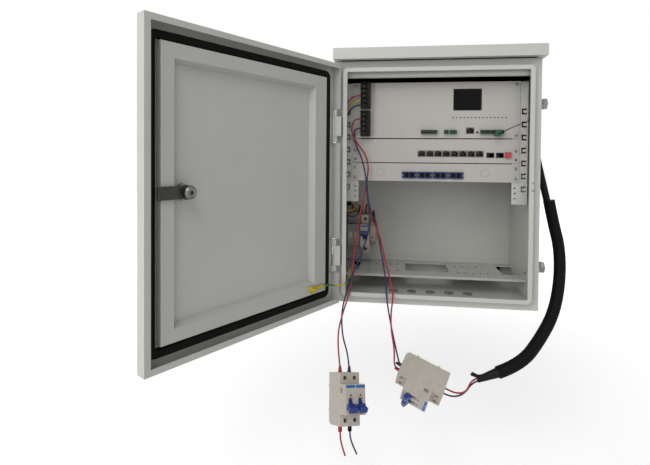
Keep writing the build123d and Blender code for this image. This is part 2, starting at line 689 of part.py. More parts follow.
# Network switch: one folded chassis whose front sheet carries the ears
switch_top = psu_bottom - unit_gap
with BuildPart() as switch_unit:
    with BuildSketch(front_plane(rack_setback)):
        box_sketch(panel_left, switch_bottom, panel_right, switch_top)
    extrude(amount=-panel_sheet)
    with BuildSketch(front_plane(unit_front)):
        box_sketch(unit_left, switch_bottom + 1, unit_right, switch_top - 1)
    extrude(amount=-unit_depth)
    with BuildSketch(front_plane(rack_setback)):
        box_sketch(bank_left - jack_room, bank_bottom - jack_room, bank_left + bank_width + jack_room,
                   bank_bottom + jack_height + jack_room)
    extrude(amount=-(jack_depth - jack_stand), mode=Mode.SUBTRACT)
    with BuildSketch(front_plane(rack_setback)):
        for cage_left in cage_lefts:
            box_sketch(cage_left, cage_bottom, cage_left + cage_width, cage_bottom + cage_height)
    extrude(amount=-cage_depth, mode=Mode.SUBTRACT)
switch_unit.part.label = "switch_unit"
export_step(switch_unit.part, "parts/switch_unit.step")

with BuildPart() as module_cages:
    with BuildSketch(front_plane(rack_setback - cage_stand)):
        for cage_left in cage_lefts:
            box_sketch(cage_left, cage_bottom, cage_left + cage_width, cage_bottom + cage_height)
        for cage_left in cage_lefts:
            with Locations((cage_left + cage_width / 2, cage_bottom + cage_height / 2)):
                Rectangle(cage_width - 2 * cage_wall, cage_height - 2 * cage_wall, mode=Mode.SUBTRACT)
    extrude(amount=-(cage_depth + cage_stand))
module_cages.part.label = "module_cages"
export_step(module_cages.part, "parts/module_cages.step")

with BuildPart() as supply_terminal:
    with BuildSketch(front_plane(rack_setback)):
        box_sketch(supply_left, cage_bottom, supply_left + supply_width, cage_bottom + supply_height)
    extrude(amount=supply_reach)
    with BuildSketch(front_plane(rack_setback - supply_reach)):
        with Locations((supply_left + supply_width / 2, cage_bottom + supply_height / 2)):
            with GridLocations(supply_width / 2, supply_height / 2, 2, 2):
                Rectangle(3.2, 3.2)
    extrude(amount=-2.5, mode=Mode.SUBTRACT)
supply_terminal.part.label = "supply_terminal"
export_step(supply_terminal.part, "parts/supply_terminal.step")

# Fibre panel: folded sheet with four adapter windows and two knock-outs
fibre_top = switch_bottom - unit_gap
with BuildPart() as fibre_panel:
    with BuildSketch(front_plane(rack_setback)):
        box_sketch(panel_left, fibre_bottom, panel_right, fibre_top)
    extrude(amount=-panel_sheet)
    with BuildSketch(front_plane(unit_front)):
        box_sketch(unit_left, fibre_bottom, unit_right, fibre_bottom + panel_sheet)
        box_sketch(unit_left, fibre_top - panel_sheet, unit_right, fibre_top)
    extrude(amount=-fibre_depth)
    with BuildSketch(front_plane(unit_front + fibre_depth)):
        box_sketch(unit_left, fibre_bottom, unit_right, fibre_top)
    extrude(amount=panel_sheet)
    with BuildSketch(front_plane(rack_setback)):
        for number in range(adapter_count):
            low = adapter_left + adapter_ear + number * adapter_pitch
            box_sketch(low, adapter_bottom, low + adapter_width, adapter_bottom + adapter_height)
    extrude(amount=-panel_sheet, mode=Mode.SUBTRACT)
    with BuildSketch(front_plane(rack_setback)):
        with Locations(*knockout_centres):
            Circle(knockout_radius)
            Circle(knockout_radius - knockout_groove, mode=Mode.SUBTRACT)
    extrude(amount=-knockout_groove, mode=Mode.SUBTRACT)
fibre_panel.part.label = "fibre_panel"
export_step(fibre_panel.part, "parts/fibre_panel.step")

ear_width = adapter_width + 2 * adapter_ear
adapter_middle = adapter_bottom + adapter_height / 2
with BuildPart() as fibre_adapters:
    with Locations((0, 0)):
        for number in range(adapter_count):
            low = adapter_left + number * adapter_pitch
            with BuildSketch(front_plane(rack_setback)):
                box_sketch(low, adapter_bottom, low + ear_width, adapter_bottom + adapter_height)
                with Locations((low + ear_width / 2, adapter_middle)):
                    with GridLocations(adapter_width + adapter_ear, 1, 2, 1):
                        Circle(1.1, mode=Mode.SUBTRACT)
            extrude(amount=1.5)
            with BuildSketch(front_plane(rack_setback - 1.5)):
                box_sketch(low + adapter_ear, adapter_bottom, low + adapter_ear + adapter_width,
                           adapter_bottom + adapter_height)
            extrude(amount=2.5)
            with BuildSketch(front_plane(rack_setback)):
                box_sketch(low + adapter_ear + 0.1, adapter_bottom + 0.1,
                           low + adapter_ear + adapter_width - 0.1, adapter_bottom + adapter_height - 0.1)
            extrude(amount=-adapter_depth)
            with BuildSketch(front_plane(rack_setback - 4.0)):
                with Locations((low + ear_width / 2, adapter_middle)):
                    with GridLocations(adapter_port_pitch, 1, 2, 1):
                        Rectangle(adapter_port, adapter_port)
            extrude(amount=-3.0, mode=Mode.SUBTRACT)
fibre_adapters.part.label = "fibre_adapters"
export_step(fibre_adapters.part, "parts/fibre_adapters.step")

# Screws that hold the unit ears to the rails
with BuildPart() as panel_screws:
    with BuildSketch(front_plane(rack_setback)):
        with Locations(*[(x, height) for height in screw_heights for x in (body_width - screw_x, screw_x)]):
            Circle(screw_radius)
    extrude(amount=screw_rise)
panel_screws.part.label = "panel_screws"
export_step(panel_screws.part, "parts/panel_screws.step")

# Shelf: perforated sheet with a folded front lip and a raised back edge
shelf_back = body_depth - sheet
shelf_profile = [(shelf_front + shelf_hem, shelf_top - shelf_lip), (shelf_front, shelf_top - shelf_lip),
                 (shelf_front, shelf_top), (shelf_back, shelf_top), (shelf_back, shelf_top + shelf_upstand)]
shelf_plane = Plane(corner(0, 0, shelf_top), x_dir=(1, 0, 0), z_dir=(0, 0, 1))
with BuildPart() as equipment_shelf:
    with BuildSketch(Plane(corner(sheet, 0, 0), x_dir=(0, 1, 0), z_dir=(1, 0, 0))):
        with BuildLine():
            Polyline((shelf_front + shelf_hem, shelf_top - shelf_lip),
                     (shelf_front, shelf_top - shelf_lip), (shelf_front, shelf_top),
                     (shelf_back - panel_sheet, shelf_top),
                     (shelf_back - panel_sheet, shelf_top + shelf_upstand))
            offset(amount=panel_sheet, side=Side.RIGHT, kind=Kind.INTERSECTION)
        make_face()
    extrude(amount=body_width - 2 * sheet)
    with BuildSketch(shelf_plane):
        for group_left in (slot_group_left, slot_group_right):
            for row in slot_rows:
                with Locations((group_left + 2 * slot_pitch, row)):
                    with GridLocations(slot_pitch, 1, 5, 1):
                        SlotOverall(slot_length, slot_width, rotation=90)
        box_sketch(window_left, window_front, window_left + window_width, window_front + window_depth)
        box_sketch(body_width - sheet - notch_width, notch_front, body_width - sheet,
                   notch_front + notch_depth)
        box_sketch(sheet, notch_front, sheet + notch_width, notch_front + notch_depth)
    extrude(amount=-panel_sheet, mode=Mode.SUBTRACT)
equipment_shelf.part.label = "equipment_shelf"
export_step(equipment_shelf.part, "parts/equipment_shelf.step")

with BuildPart() as floor_grommets:
    with BuildSketch(floor_plane.offset(-grommet_rim)):
        with Locations((body_width / 2, grommet_y)):
            with GridLocations(grommet_pitch, 1, grommet_count, 1):
                Circle(grommet_radius + grommet_rim)
    extrude(amount=grommet_rim)
    with BuildSketch(floor_plane):
        with Locations((body_width / 2, grommet_y)):
            with GridLocations(grommet_pitch, 1, grommet_count, 1):
                Circle(grommet_radius)
    extrude(amount=sheet)
    with BuildSketch(floor_plane.offset(sheet)):
        with Locations((body_width / 2, grommet_y)):
            with GridLocations(grommet_pitch, 1, grommet_count, 1):
                Circle(grommet_radius + grommet_rim)
    extrude(amount=grommet_rim)
floor_grommets.part.label = "floor_grommets"
export_step(floor_grommets.part, "parts/floor_grommets.step")

# Top hat rail on the back wall at the lower left, and the devices on it
wall_face = body_depth - sheet
din_face = wall_face - din_rise
din_half = din_width / 2
with BuildPart() as din_rail:
    with BuildSketch(Plane(corner(din_left, 0, din_height), x_dir=(0, 1, 0), z_dir=(1, 0, 0))):
        with BuildLine():
            Polyline((din_face, -din_half), (din_face, 5 - din_half),
                     (wall_face - din_sheet, 5 - din_half), (wall_face - din_sheet, din_half - 5),
                     (din_face, din_half - 5), (din_face, din_half))
            offset(amount=din_sheet, side=Side.RIGHT, kind=Kind.INTERSECTION)
        make_face()
    extrude(amount=din_length)
din_rail.part.label = "din_rail"
export_step(din_rail.part, "parts/din_rail.step")

grip = din_half + 0.3
device_back = din_face - din_grip
arrester_plane = Plane(corner(arrester_left, device_back, din_height), x_dir=(0, -1, 0), z_dir=(-1, 0, 0))
with BuildPart() as surge_arrester:
    with BuildSketch(arrester_plane):
        with BuildLine():
            Polyline((0, -arrester_height / 2), (0, -grip - 3), (-din_grip - 1, -grip - 3),
                     (-din_grip - 1, -grip), (0, -grip), (0, grip), (-din_grip - 1, grip),
                     (-din_grip - 1, grip + 3), (0, grip + 3), (0, arrester_height / 2),
                     (shoulder_depth, arrester_height / 2), (shoulder_depth, raised_high - 40),
                     (arrester_depth, raised_high - 40), (arrester_depth, raised_low - 40),
                     (shoulder_depth, raised_low - 40), (shoulder_depth, -arrester_height / 2), close=True)
        make_face()
    extrude(amount=-arrester_width)
    chamfer(surge_arrester.faces().sort_by(Axis.Y)[0].edges(), 0.8)
surge_arrester.part.label = "surge_arrester"
export_step(surge_arrester.part, "parts/surge_arrester.step")

with BuildPart() as rail_terminals:
    with BuildSketch(Plane(corner(rail_terminal_left, device_back, din_height), x_dir=(0, -1, 0),
                           z_dir=(-1, 0, 0))):
        with BuildLine():
            Polyline((0, -25), (0, -grip - 3), (-din_grip - 1, -grip - 3), (-din_grip - 1, -grip),
                     (0, -grip), (0, grip), (-din_grip - 1, grip), (-din_grip - 1, grip + 3),
                     (0, grip + 3), (0, 25), (30, 25), (40, 15), (40, -15), (30, -25), close=True)
        make_face()
    extrude(amount=-rail_terminal_width)
rail_terminals.part.label = "rail_terminals"
export_step(rail_terminals.part, "parts/rail_terminals.step")


def hung_plane(centre, front_direction, left_direction):
    """Plane at the lower left back edge of a two pole breaker whose middle is at centre."""
    middle = Plane(centre, x_dir=front_direction, z_dir=left_direction)
    start = middle.from_local_coords((-shoulder_depth / 2, -breaker_height / 2, pole_pitch))
    return Plane(start, x_dir=middle.x_dir, z_dir=middle.z_dir)


def well_point(plane, pole, at_top, outward):
    """Point on the axis of a lead entry, so far outward of the well's floor."""
    level = breaker_height - well_depth + outward if at_top else well_depth - outward
    return plane.from_local_coords((well_back, level, -(pole + 0.5) * pole_pitch))


# Circuit breakers: one on the rail, two that hang on their leads, each with joined toggles
branch_plane = Plane(corner(branch_left, device_back, din_height - breaker_height / 2),
                     x_dir=(0, -1, 0), z_dir=(-1, 0, 0))
hung_1_plane = hung_plane(corner(22.8, -36.9, -154.6), (0.524, -0.756, 0.392), (-0.849, -0.498, 0.176))
hung_2_plane = hung_plane(corner(157.0, -9.6, -124.1), (-0.380, -0.762, -0.524), (0.111, -0.600, 0.792))
mid_height = breaker_height / 2
breaker_rows = (("branch_breaker", branch_plane, 1, toggle_swing),
                ("hung_breaker_1", hung_1_plane, 2, -toggle_swing),
                ("hung_breaker_2", hung_2_plane, 2, -toggle_swing))
for name, plane, poles, lever_angle in breaker_rows:
    with BuildPart() as breaker:
        with BuildSketch(plane):
            with BuildLine():
                Polyline((0, 4), (0, mid_height - grip - 3), (-din_grip - 1, mid_height - grip - 3),
                         (-din_grip - 1, mid_height - grip), (0, mid_height - grip),
                         (0, mid_height + grip), (-din_grip - 1, mid_height + grip),
                         (-din_grip - 1, mid_height + grip + 3), (0, mid_height + grip + 3),
                         (0, breaker_height), (shoulder_depth, breaker_height),
                         (shoulder_depth, raised_high), (raised_depth, raised_high),
                         (raised_depth, raised_low), (shoulder_depth, raised_low), (shoulder_depth, 0),
                         (6, 0), close=True)
            make_face()
        extrude(amount=-poles * pole_pitch)
        for pole in range(poles):
            across = -(pole + 0.5) * pole_pitch
            pocket_side = across + toggle_width / 2 + toggle_clearance
            with BuildSketch(plane.offset(pocket_side)):
                with Locations((pivot_depth, pivot_height)):
                    Circle(toggle_hub + toggle_clearance)
                with Locations((pivot_depth + 1.0, pivot_height)):
                    Rectangle(raised_depth - pivot_depth, 2 * pocket_half, align=(Align.MIN, Align.CENTER))
            extrude(amount=-(toggle_width + 2 * toggle_clearance), mode=Mode.SUBTRACT)
            for level, inward in ((0, plane.y_dir), (breaker_height, -plane.y_dir)):
                well_plane = Plane(plane.from_local_coords((well_back, level, across)),
                                   x_dir=plane.x_dir, z_dir=inward)
                with BuildSketch(well_plane):
                    Circle(well_radius)
                extrude(amount=well_depth, mode=Mode.SUBTRACT)
            for level in (screw_inset, breaker_height - screw_inset):
                hole_plane = Plane(plane.from_local_coords((shoulder_depth, level, across)),
                                   x_dir=plane.y_dir, z_dir=plane.x_dir)
                with BuildSketch(hole_plane):
                    Circle(breaker_screw_radius)
                extrude(amount=-breaker_screw_depth, mode=Mode.SUBTRACT)
    breaker.part.label = name
    export_step(breaker.part, f"parts/{name}.step")

    lever = radians(lever_angle)
    lever_reach = toggle_hub + toggle_reach
    bar_middle = lever_reach - toggle_bar / 2
    with BuildPart() as toggle:
        for pole in range(poles):
            with BuildSketch(plane.offset(-(pole + 0.5) * pole_pitch + toggle_width / 2)):
                with Locations((pivot_depth, pivot_height)):
                    Circle(toggle_hub)
                with Locations(Location((pivot_depth, pivot_height), lever_angle)):
                    Rectangle(lever_reach, toggle_thickness, align=(Align.MIN, Align.CENTER))
            extrude(amount=-toggle_width)
        with BuildSketch(plane.offset(-0.5 * pole_pitch + toggle_width / 2)):
            with Locations((pivot_depth + bar_middle * cos(lever), pivot_height + bar_middle * sin(lever))):
                Rectangle(toggle_bar, toggle_thickness, rotation=lever_angle)
        extrude(amount=-((poles - 1) * pole_pitch + toggle_width))
    toggle.part.label = name.replace("breaker", "toggle")
    export_step(toggle.part, f"parts/{toggle.part.label}.step")

# Terminal screws of the blocks, and of the breakers at the bottom of their shoulder holes
with BuildPart() as terminal_screws:
    with BuildSketch(front_plane(rack_setback - block_rise + block_step)):
        for base in block_bottoms:
            with Locations((block_left + block_screw_inset, base + block_height / 2)):
                with GridLocations(1, way_height, 1, block_ways):
                    Circle(block_screw_radius)
    extrude(amount=block_screw_rise)
    for name, plane, poles, lever_angle in breaker_rows:
        for pole in range(poles):
            for level in (screw_inset, breaker_height - screw_inset):
                screw_point = (shoulder_depth - breaker_screw_depth, level, -(pole + 0.5) * pole_pitch)
                screw_plane = Plane(plane.from_local_coords(screw_point), x_dir=plane.y_dir,
                                    z_dir=plane.x_dir)
                with BuildSketch(screw_plane):
                    Circle(breaker_screw_radius - screw_clearance)
                extrude(amount=breaker_screw_rise)
terminal_screws.part.label = "terminal_screws"
export_step(terminal_screws.part, "parts/terminal_screws.step")

# Small junction box on the left wall, with two plugs in its underside
with BuildPart() as junction_box:
    with BuildSketch(Plane(corner(sheet, junction_y, junction_bottom), x_dir=(1, 0, 0), z_dir=(0, 0, 1))):
        Rectangle(junction_reach, junction_depth, align=(Align.MIN, Align.MIN))
    extrude(amount=junction_height)
    fillet(junction_box.faces().sort_by(Axis.X)[-1].edges(), 1.5)
junction_box.part.label = "junction_box"
export_step(junction_box.part, "parts/junction_box.step")

with BuildPart() as junction_plugs:
    with BuildSketch(Plane(corner(sheet + junction_reach / 2, junction_y + junction_depth / 2,
                                  junction_bottom), x_dir=(1, 0, 0), z_dir=(0, 0, 1))):
        with GridLocations(1, junction_depth / 2, 1, 2):
            Rectangle(13, 10)
    extrude(amount=-plug_drop)
    chamfer(junction_plugs.faces().sort_by(Axis.Z)[0].edges(), 1.5)
junction_plugs.part.label = "junction_plugs"
export_step(junction_plugs.part, "parts/junction_plugs.step")

# Elbow on the right wall that the sleeved lead leaves through, with its tapered boot
elbow_plane = Plane(corner(body_width, elbow_y, elbow_height), x_dir=(0, 1, 0), z_dir=(1, 0, 0))
boot_start = Vector(*corner(body_width + elbow_reach, elbow_y, elbow_height))
boot_end = Vector(*corner(*sleeve_start))
boot_run = boot_end - boot_start
with BuildPart() as side_elbow:
    with BuildSketch(elbow_plane.offset(-sheet - elbow_nut)):
        Circle(elbow_neck)
    extrude(amount=sheet + elbow_nut)
    with BuildSketch(elbow_plane.offset(-sheet)):
        RegularPolygon(elbow_radius + 2, 6, major_radius=False)
    extrude(amount=-elbow_nut)
    with BuildSketch(elbow_plane):
        Circle(elbow_radius)
    extrude(amount=elbow_reach)
    with Locations(boot_start):
        Sphere(elbow_radius)
    with BuildSketch(Plane(boot_start, z_dir=boot_run)):
        Circle(elbow_radius)
    with BuildSketch(Plane(boot_end, z_dir=boot_run)):
        Circle(boot_tip)
    loft()
side_elbow.part.label = "side_elbow"
export_step(side_elbow.part, "parts/side_elbow.step")

# Taped end of the sleeve, where the two leads come out
wrap_start = Vector(*corner(*sleeve_tip))
wrap_end = Vector(*corner(*wrap_tip))
wrap_run = wrap_end - wrap_start
wrap_end_plane = Plane(wrap_end, x_dir=(0, -1, 0), z_dir=wrap_run)
with BuildPart() as sleeve_wrap:
    with BuildSketch(Plane(wrap_start, x_dir=(0, -1, 0), z_dir=wrap_run)):
        Circle(sleeve_diameter / 2 - 2)
    with BuildSketch(wrap_end_plane):
        SlotOverall(3.6 * lead_diameter, 2.0 * lead_diameter, rotation=90)
    loft()
sleeve_wrap.part.label = "sleeve_wrap"
export_step(sleeve_wrap.part, "parts/sleeve_wrap.step")

# Probe in the gap beside the right rail that the thin sensor lead runs to
with BuildPart() as sensor_probe:
    with BuildSketch(front_plane(probe_front)):
        with Locations((foot_inside - probe_radius, probe_height)):
            Circle(probe_radius)
    extrude(amount=-probe_length)
sensor_probe.part.label = "sensor_probe"
export_step(sensor_probe.part, "parts/sensor_probe.step")

def route_radii(name, points, diameter):
    """Arc radius at each inner point of a route, from its shorter run and its turn."""
    corners = [Vector(*point) for point in points]
    radii = []
    for before, here, after in zip(corners, corners[1:], corners[2:]):
        first, second = here - before, after - here
        half_turn = radians(first.get_angle(second)) / 2
        radii.append(0.45 * min(first.length, second.length) / tan(half_turn))
    print(name, "radii", [round(radius, 1) for radius in radii], "smallest allowed", 3 * diameter)
    return radii


# Leads: each route is a list of points from one terminal to the next
wrap_red = wrap_end_plane.from_local_coords((0, 0.8 * lead_diameter, 0))
wrap_blue = wrap_end_plane.from_local_coords((0, -0.8 * lead_diameter, 0))
bond_start = door_stud_plane.from_local_coords((door_lug_end, 0, lug_lift))
bond_end = wall_stud_plane.from_local_coords((wall_lug_end, 0, lug_lift))
routes = {
    "lead_red_1": (lead_diameter, [
        corner(block_left, 22.0, 330.3), corner(34.0, 22.0, 330.3), corner(27.5, 19.5, 321.0),
        corner(26.0, 16.5, 309.0), corner(30.0, 14.5, 297.0), corner(38.0, 14.0, 284.0),
        corner(52.2, 15.5, 265.8), corner(57.8, 17.0, 245.0), corner(55.4, 16.8, 215.0),
        corner(49.6, 15.5, 185.0), corner(43.2, 13.5, 157.0), corner(38.4, 9.5, 121.0),
        corner(34.3, 3.0, 85.4), corner(31.5, -6.0, 52.0), corner(28.7, -18.0, 21.0),
        corner(16.8, -21.5, -15.0), corner(9.6, -22.0, -45.0), corner(9.8, -23.0, -75.0),
        well_point(hung_1_plane, 0, True, 16.0), well_point(hung_1_plane, 0, True, 0)]),
    "lead_blue_1": (lead_diameter, [
        corner(block_left, 22.0, 312.7), corner(35.0, 22.0, 312.7), corner(30.0, 22.8, 305.0),
        corner(31.5, 21.5, 291.0), corner(37.5, 17.5, 275.0), corner(47.0, 13.0, 255.0),
        corner(53.2, 11.0, 226.0), corner(56.8, 10.0, 195.0), corner(60.8, 9.5, 160.0),
        corner(60.4, 9.0, 130.0), corner(53.5, 6.0, 104.0), corner(41.5, -1.0, 71.0),
        corner(31.3, -12.5, 47.0), corner(24.0, -18.0, 24.0), corner(16.2, -17.0, -4.0),
        corner(14.6, -16.0, -30.0), corner(17.0, -13.5, -60.0), corner(24.6, -10.5, -86.0),
        well_point(hung_1_plane, 1, True, 14.0), well_point(hung_1_plane, 1, True, 0)]),
    "lead_red_2": (lead_diameter, [
        well_point(branch_plane, 0, True, 0), well_point(branch_plane, 0, True, 18.0),
        corner(48.5, 139.0, 163.0), corner(54.0, 112.0, 164.0), corner(59.0, 80.0, 155.0),
        corner(64.0, 48.0, 147.5), corner(71.5, 22.0, 135.0), corner(81.5, 11.0, 112.0),
        corner(89.5, 8.0, 76.0), corner(99.0, -6.0, 44.0), corner(105.2, -18.5, 20.0),
        corner(101.0, -23.5, -8.0), corner(102.0, -25.0, -38.0), corner(107.0, -22.0, -66.0),
        corner(108.0, -13.5, -88.0), corner(107.5, -1.0, -105.0),
        well_point(hung_2_plane, 1, False, 14.0), well_point(hung_2_plane, 1, False, 0)]),
    "lead_blue_2": (lead_diameter, [
        corner(60.5, 150.0, 125.0), corner(60.5, 150.0, 139.0), corner(61.5, 136.0, 150.5),
        corner(64.0, 110.0, 150.0), corner(67.0, 80.0, 141.0), corner(70.0, 50.0, 137.0),
        corner(75.0, 24.0, 124.0), corner(81.5, 12.0, 96.0), corner(87.5, 4.0, 64.0),
        corner(92.5, -8.5, 40.0), corner(93.0, -18.5, 20.0), corner(97.0, -18.5, -8.0),
        corner(103.4, -18.5, -40.0), corner(109.6, -15.0, -70.0), corner(114.5, -10.0, -93.0),
        well_point(hung_2_plane, 0, False, 9.0), well_point(hung_2_plane, 0, False, 0)]),
    "tail_red": (lead_diameter, [
        well_point(hung_1_plane, 0, False, 0), well_point(hung_1_plane, 0, False, 14.0),
        corner(17.5, -58.0, -220.0), corner(19.0, -61.0, -240.0)]),
    "tail_blue": (lead_diameter, [
        well_point(hung_1_plane, 1, False, 0), well_point(hung_1_plane, 1, False, 14.0),
        corner(36.5, -49.5, -222.0), corner(40.0, -52.0, -242.0)]),
    "out_red": (lead_diameter, [
        well_point(hung_2_plane, 0, True, 0), well_point(hung_2_plane, 0, True, 14.0),
        corner(214.0, -31.5, -135.5), corner(228.0, -33.0, -130.5),
        wrap_red + 10.0 * wrap_end_plane.z_dir, wrap_red]),
    "out_blue": (lead_diameter, [
        well_point(hung_2_plane, 1, True, 0), well_point(hung_2_plane, 1, True, 14.0),
        corner(213.0, -20.5, -147.0), corner(227.0, -23.5, -138.0),
        wrap_blue + 10.0 * wrap_end_plane.z_dir, wrap_blue]),
    "sleeve": (sleeve_diameter, [
        wrap_start, wrap_start - 42.0 * wrap_end_plane.z_dir, corner(358.0, 9.0, -50.0),
        corner(388.0, 34.0, -12.0), corner(404.0, 54.0, 42.0), corner(405.0, 62.0, 98.0),
        boot_end + 42.0 * boot_run.normalized(), boot_end]),
    "sensor_lead": (sensor_diameter, [
        corner(284.25, plug_front, 303.0), corner(284.25, 8.0, 303.0), corner(291.0, 4.5, 306.5),
        corner(303.0, 6.5, 312.5), corner(318.0, 10.5, 318.5), corner(333.0, 12.0, 325.0),
        corner(343.0, 12.0, 331.5), corner(344.8, 16.5, 333.0), corner(344.8, 24.0, 333.0)]),
    "bond_lead": (bond_diameter, [
        bond_start, bond_start + 11.0 * door_stud_plane.x_dir, corner(2.5, -31.5, 38.0),
        corner(12.5, -24.5, 36.0), corner(22.4, -18.6, 37.0), corner(26.3, -8.0, 42.5),
        corner(26.6, 5.0, 48.0), corner(22.0, 18.0, 53.0), corner(13.5, 29.0, 58.0),
        bond_end + 14.0 * wall_stud_plane.x_dir, bond_end]),
}
for name, (diameter, points) in routes.items():
    with BuildPart() as lead:
        with BuildLine() as route:
            FilletPolyline(*points, radius=route_radii(name, points, diameter))
        path = route.wires()[0]
        with BuildSketch(Plane(path @ 0, z_dir=path % 0)):
            Circle(diameter / 2)
        sweep(path=path)
    section = pi * (diameter / 2) ** 2
    print(name, "length", round(path.length, 1),
          "volume ratio", round(lead.part.volume / (section * path.length), 4))
    lead.part.label = name
    export_step(lead.part, f"parts/{name}.step")

# Supply leads held along the left wall, from the upper terminal block to the rail devices
loom_routes = (
    ((42.0, 22.0, 372.5), (31.0, 22.0, 372.5), (20.0, 22.8, 363.0), (10.5, 23.5, 347.0),
     (6.4, 23.8, 320.0), (6.2, 23.0, 285.0), (6.4, 24.0, 240.0), (6.0, 24.2, 205.0),
     (6.6, 24.6, 171.0), (12.0, 37.0, 156.0), (19.5, 62.0, 150.5), (22.6, 92.0, 151.0),
     (22.0, 122.0, 154.0), (16.5, 142.5, 162.0), (15.5, 150.0, 155.5), (15.5, 150.0, 145.0)),
    ((42.0, 22.0, 363.7), (32.0, 22.0, 363.7), (21.0, 26.2, 354.5), (13.0, 28.4, 337.0),
     (9.8, 28.6, 312.0), (9.6, 27.5, 280.0), (9.9, 28.0, 240.0), (9.4, 28.2, 205.0),
     (9.8, 28.6, 171.0), (16.5, 42.0, 158.5), (25.0, 65.0, 157.0), (28.0, 92.0, 160.5),
     (26.8, 122.0, 166.0), (27.5, 142.5, 165.5), (27.5, 150.0, 156.5), (27.5, 150.0, 145.0)),
    ((42.0, 22.0, 354.9), (33.0, 22.0, 354.9), (23.0, 19.5, 346.0), (14.5, 17.2, 330.0),
     (9.8, 18.5, 305.0), (9.7, 18.0, 275.0), (9.8, 18.8, 240.0), (9.6, 19.0, 205.0),
     (10.4, 19.4, 171.0), (18.0, 31.0, 151.0), (29.0, 55.0, 145.5), (34.0, 84.0, 147.0),
     (34.2, 112.0, 154.5), (33.4, 136.0, 161.5), (33.0, 146.0, 155.5), (33.0, 146.0, 145.0)))
with BuildPart() as supply_loom:
    for number, points in enumerate(loom_routes):
        loom_points = [corner(*point) for point in points]
        with BuildLine() as route:
            FilletPolyline(*loom_points, radius=route_radii(f"supply_{number}", loom_points, link_diameter))
        path = route.wires()[0]
        with BuildSketch(Plane(path @ 0, z_dir=path % 0)):
            Circle(link_diameter / 2)
        sweep(path=path)
supply_loom.part.label = "supply_loom"
export_step(supply_loom.part, "parts/supply_loom.step")
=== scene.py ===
# %% [markdown]
# # A roadside utility cabinet
# The object is a wall mounted steel box with its door open. Rack units sit behind the door, and two
# circuit breakers hang out of it on their leads. The solids already have their true size and place,
# so this script only gives them their finish, adds the soft leads and the small things that are too
# fine for the solids, and sets up the picture.

# %% Open the model
import json
from math import cos, pi, radians, sin

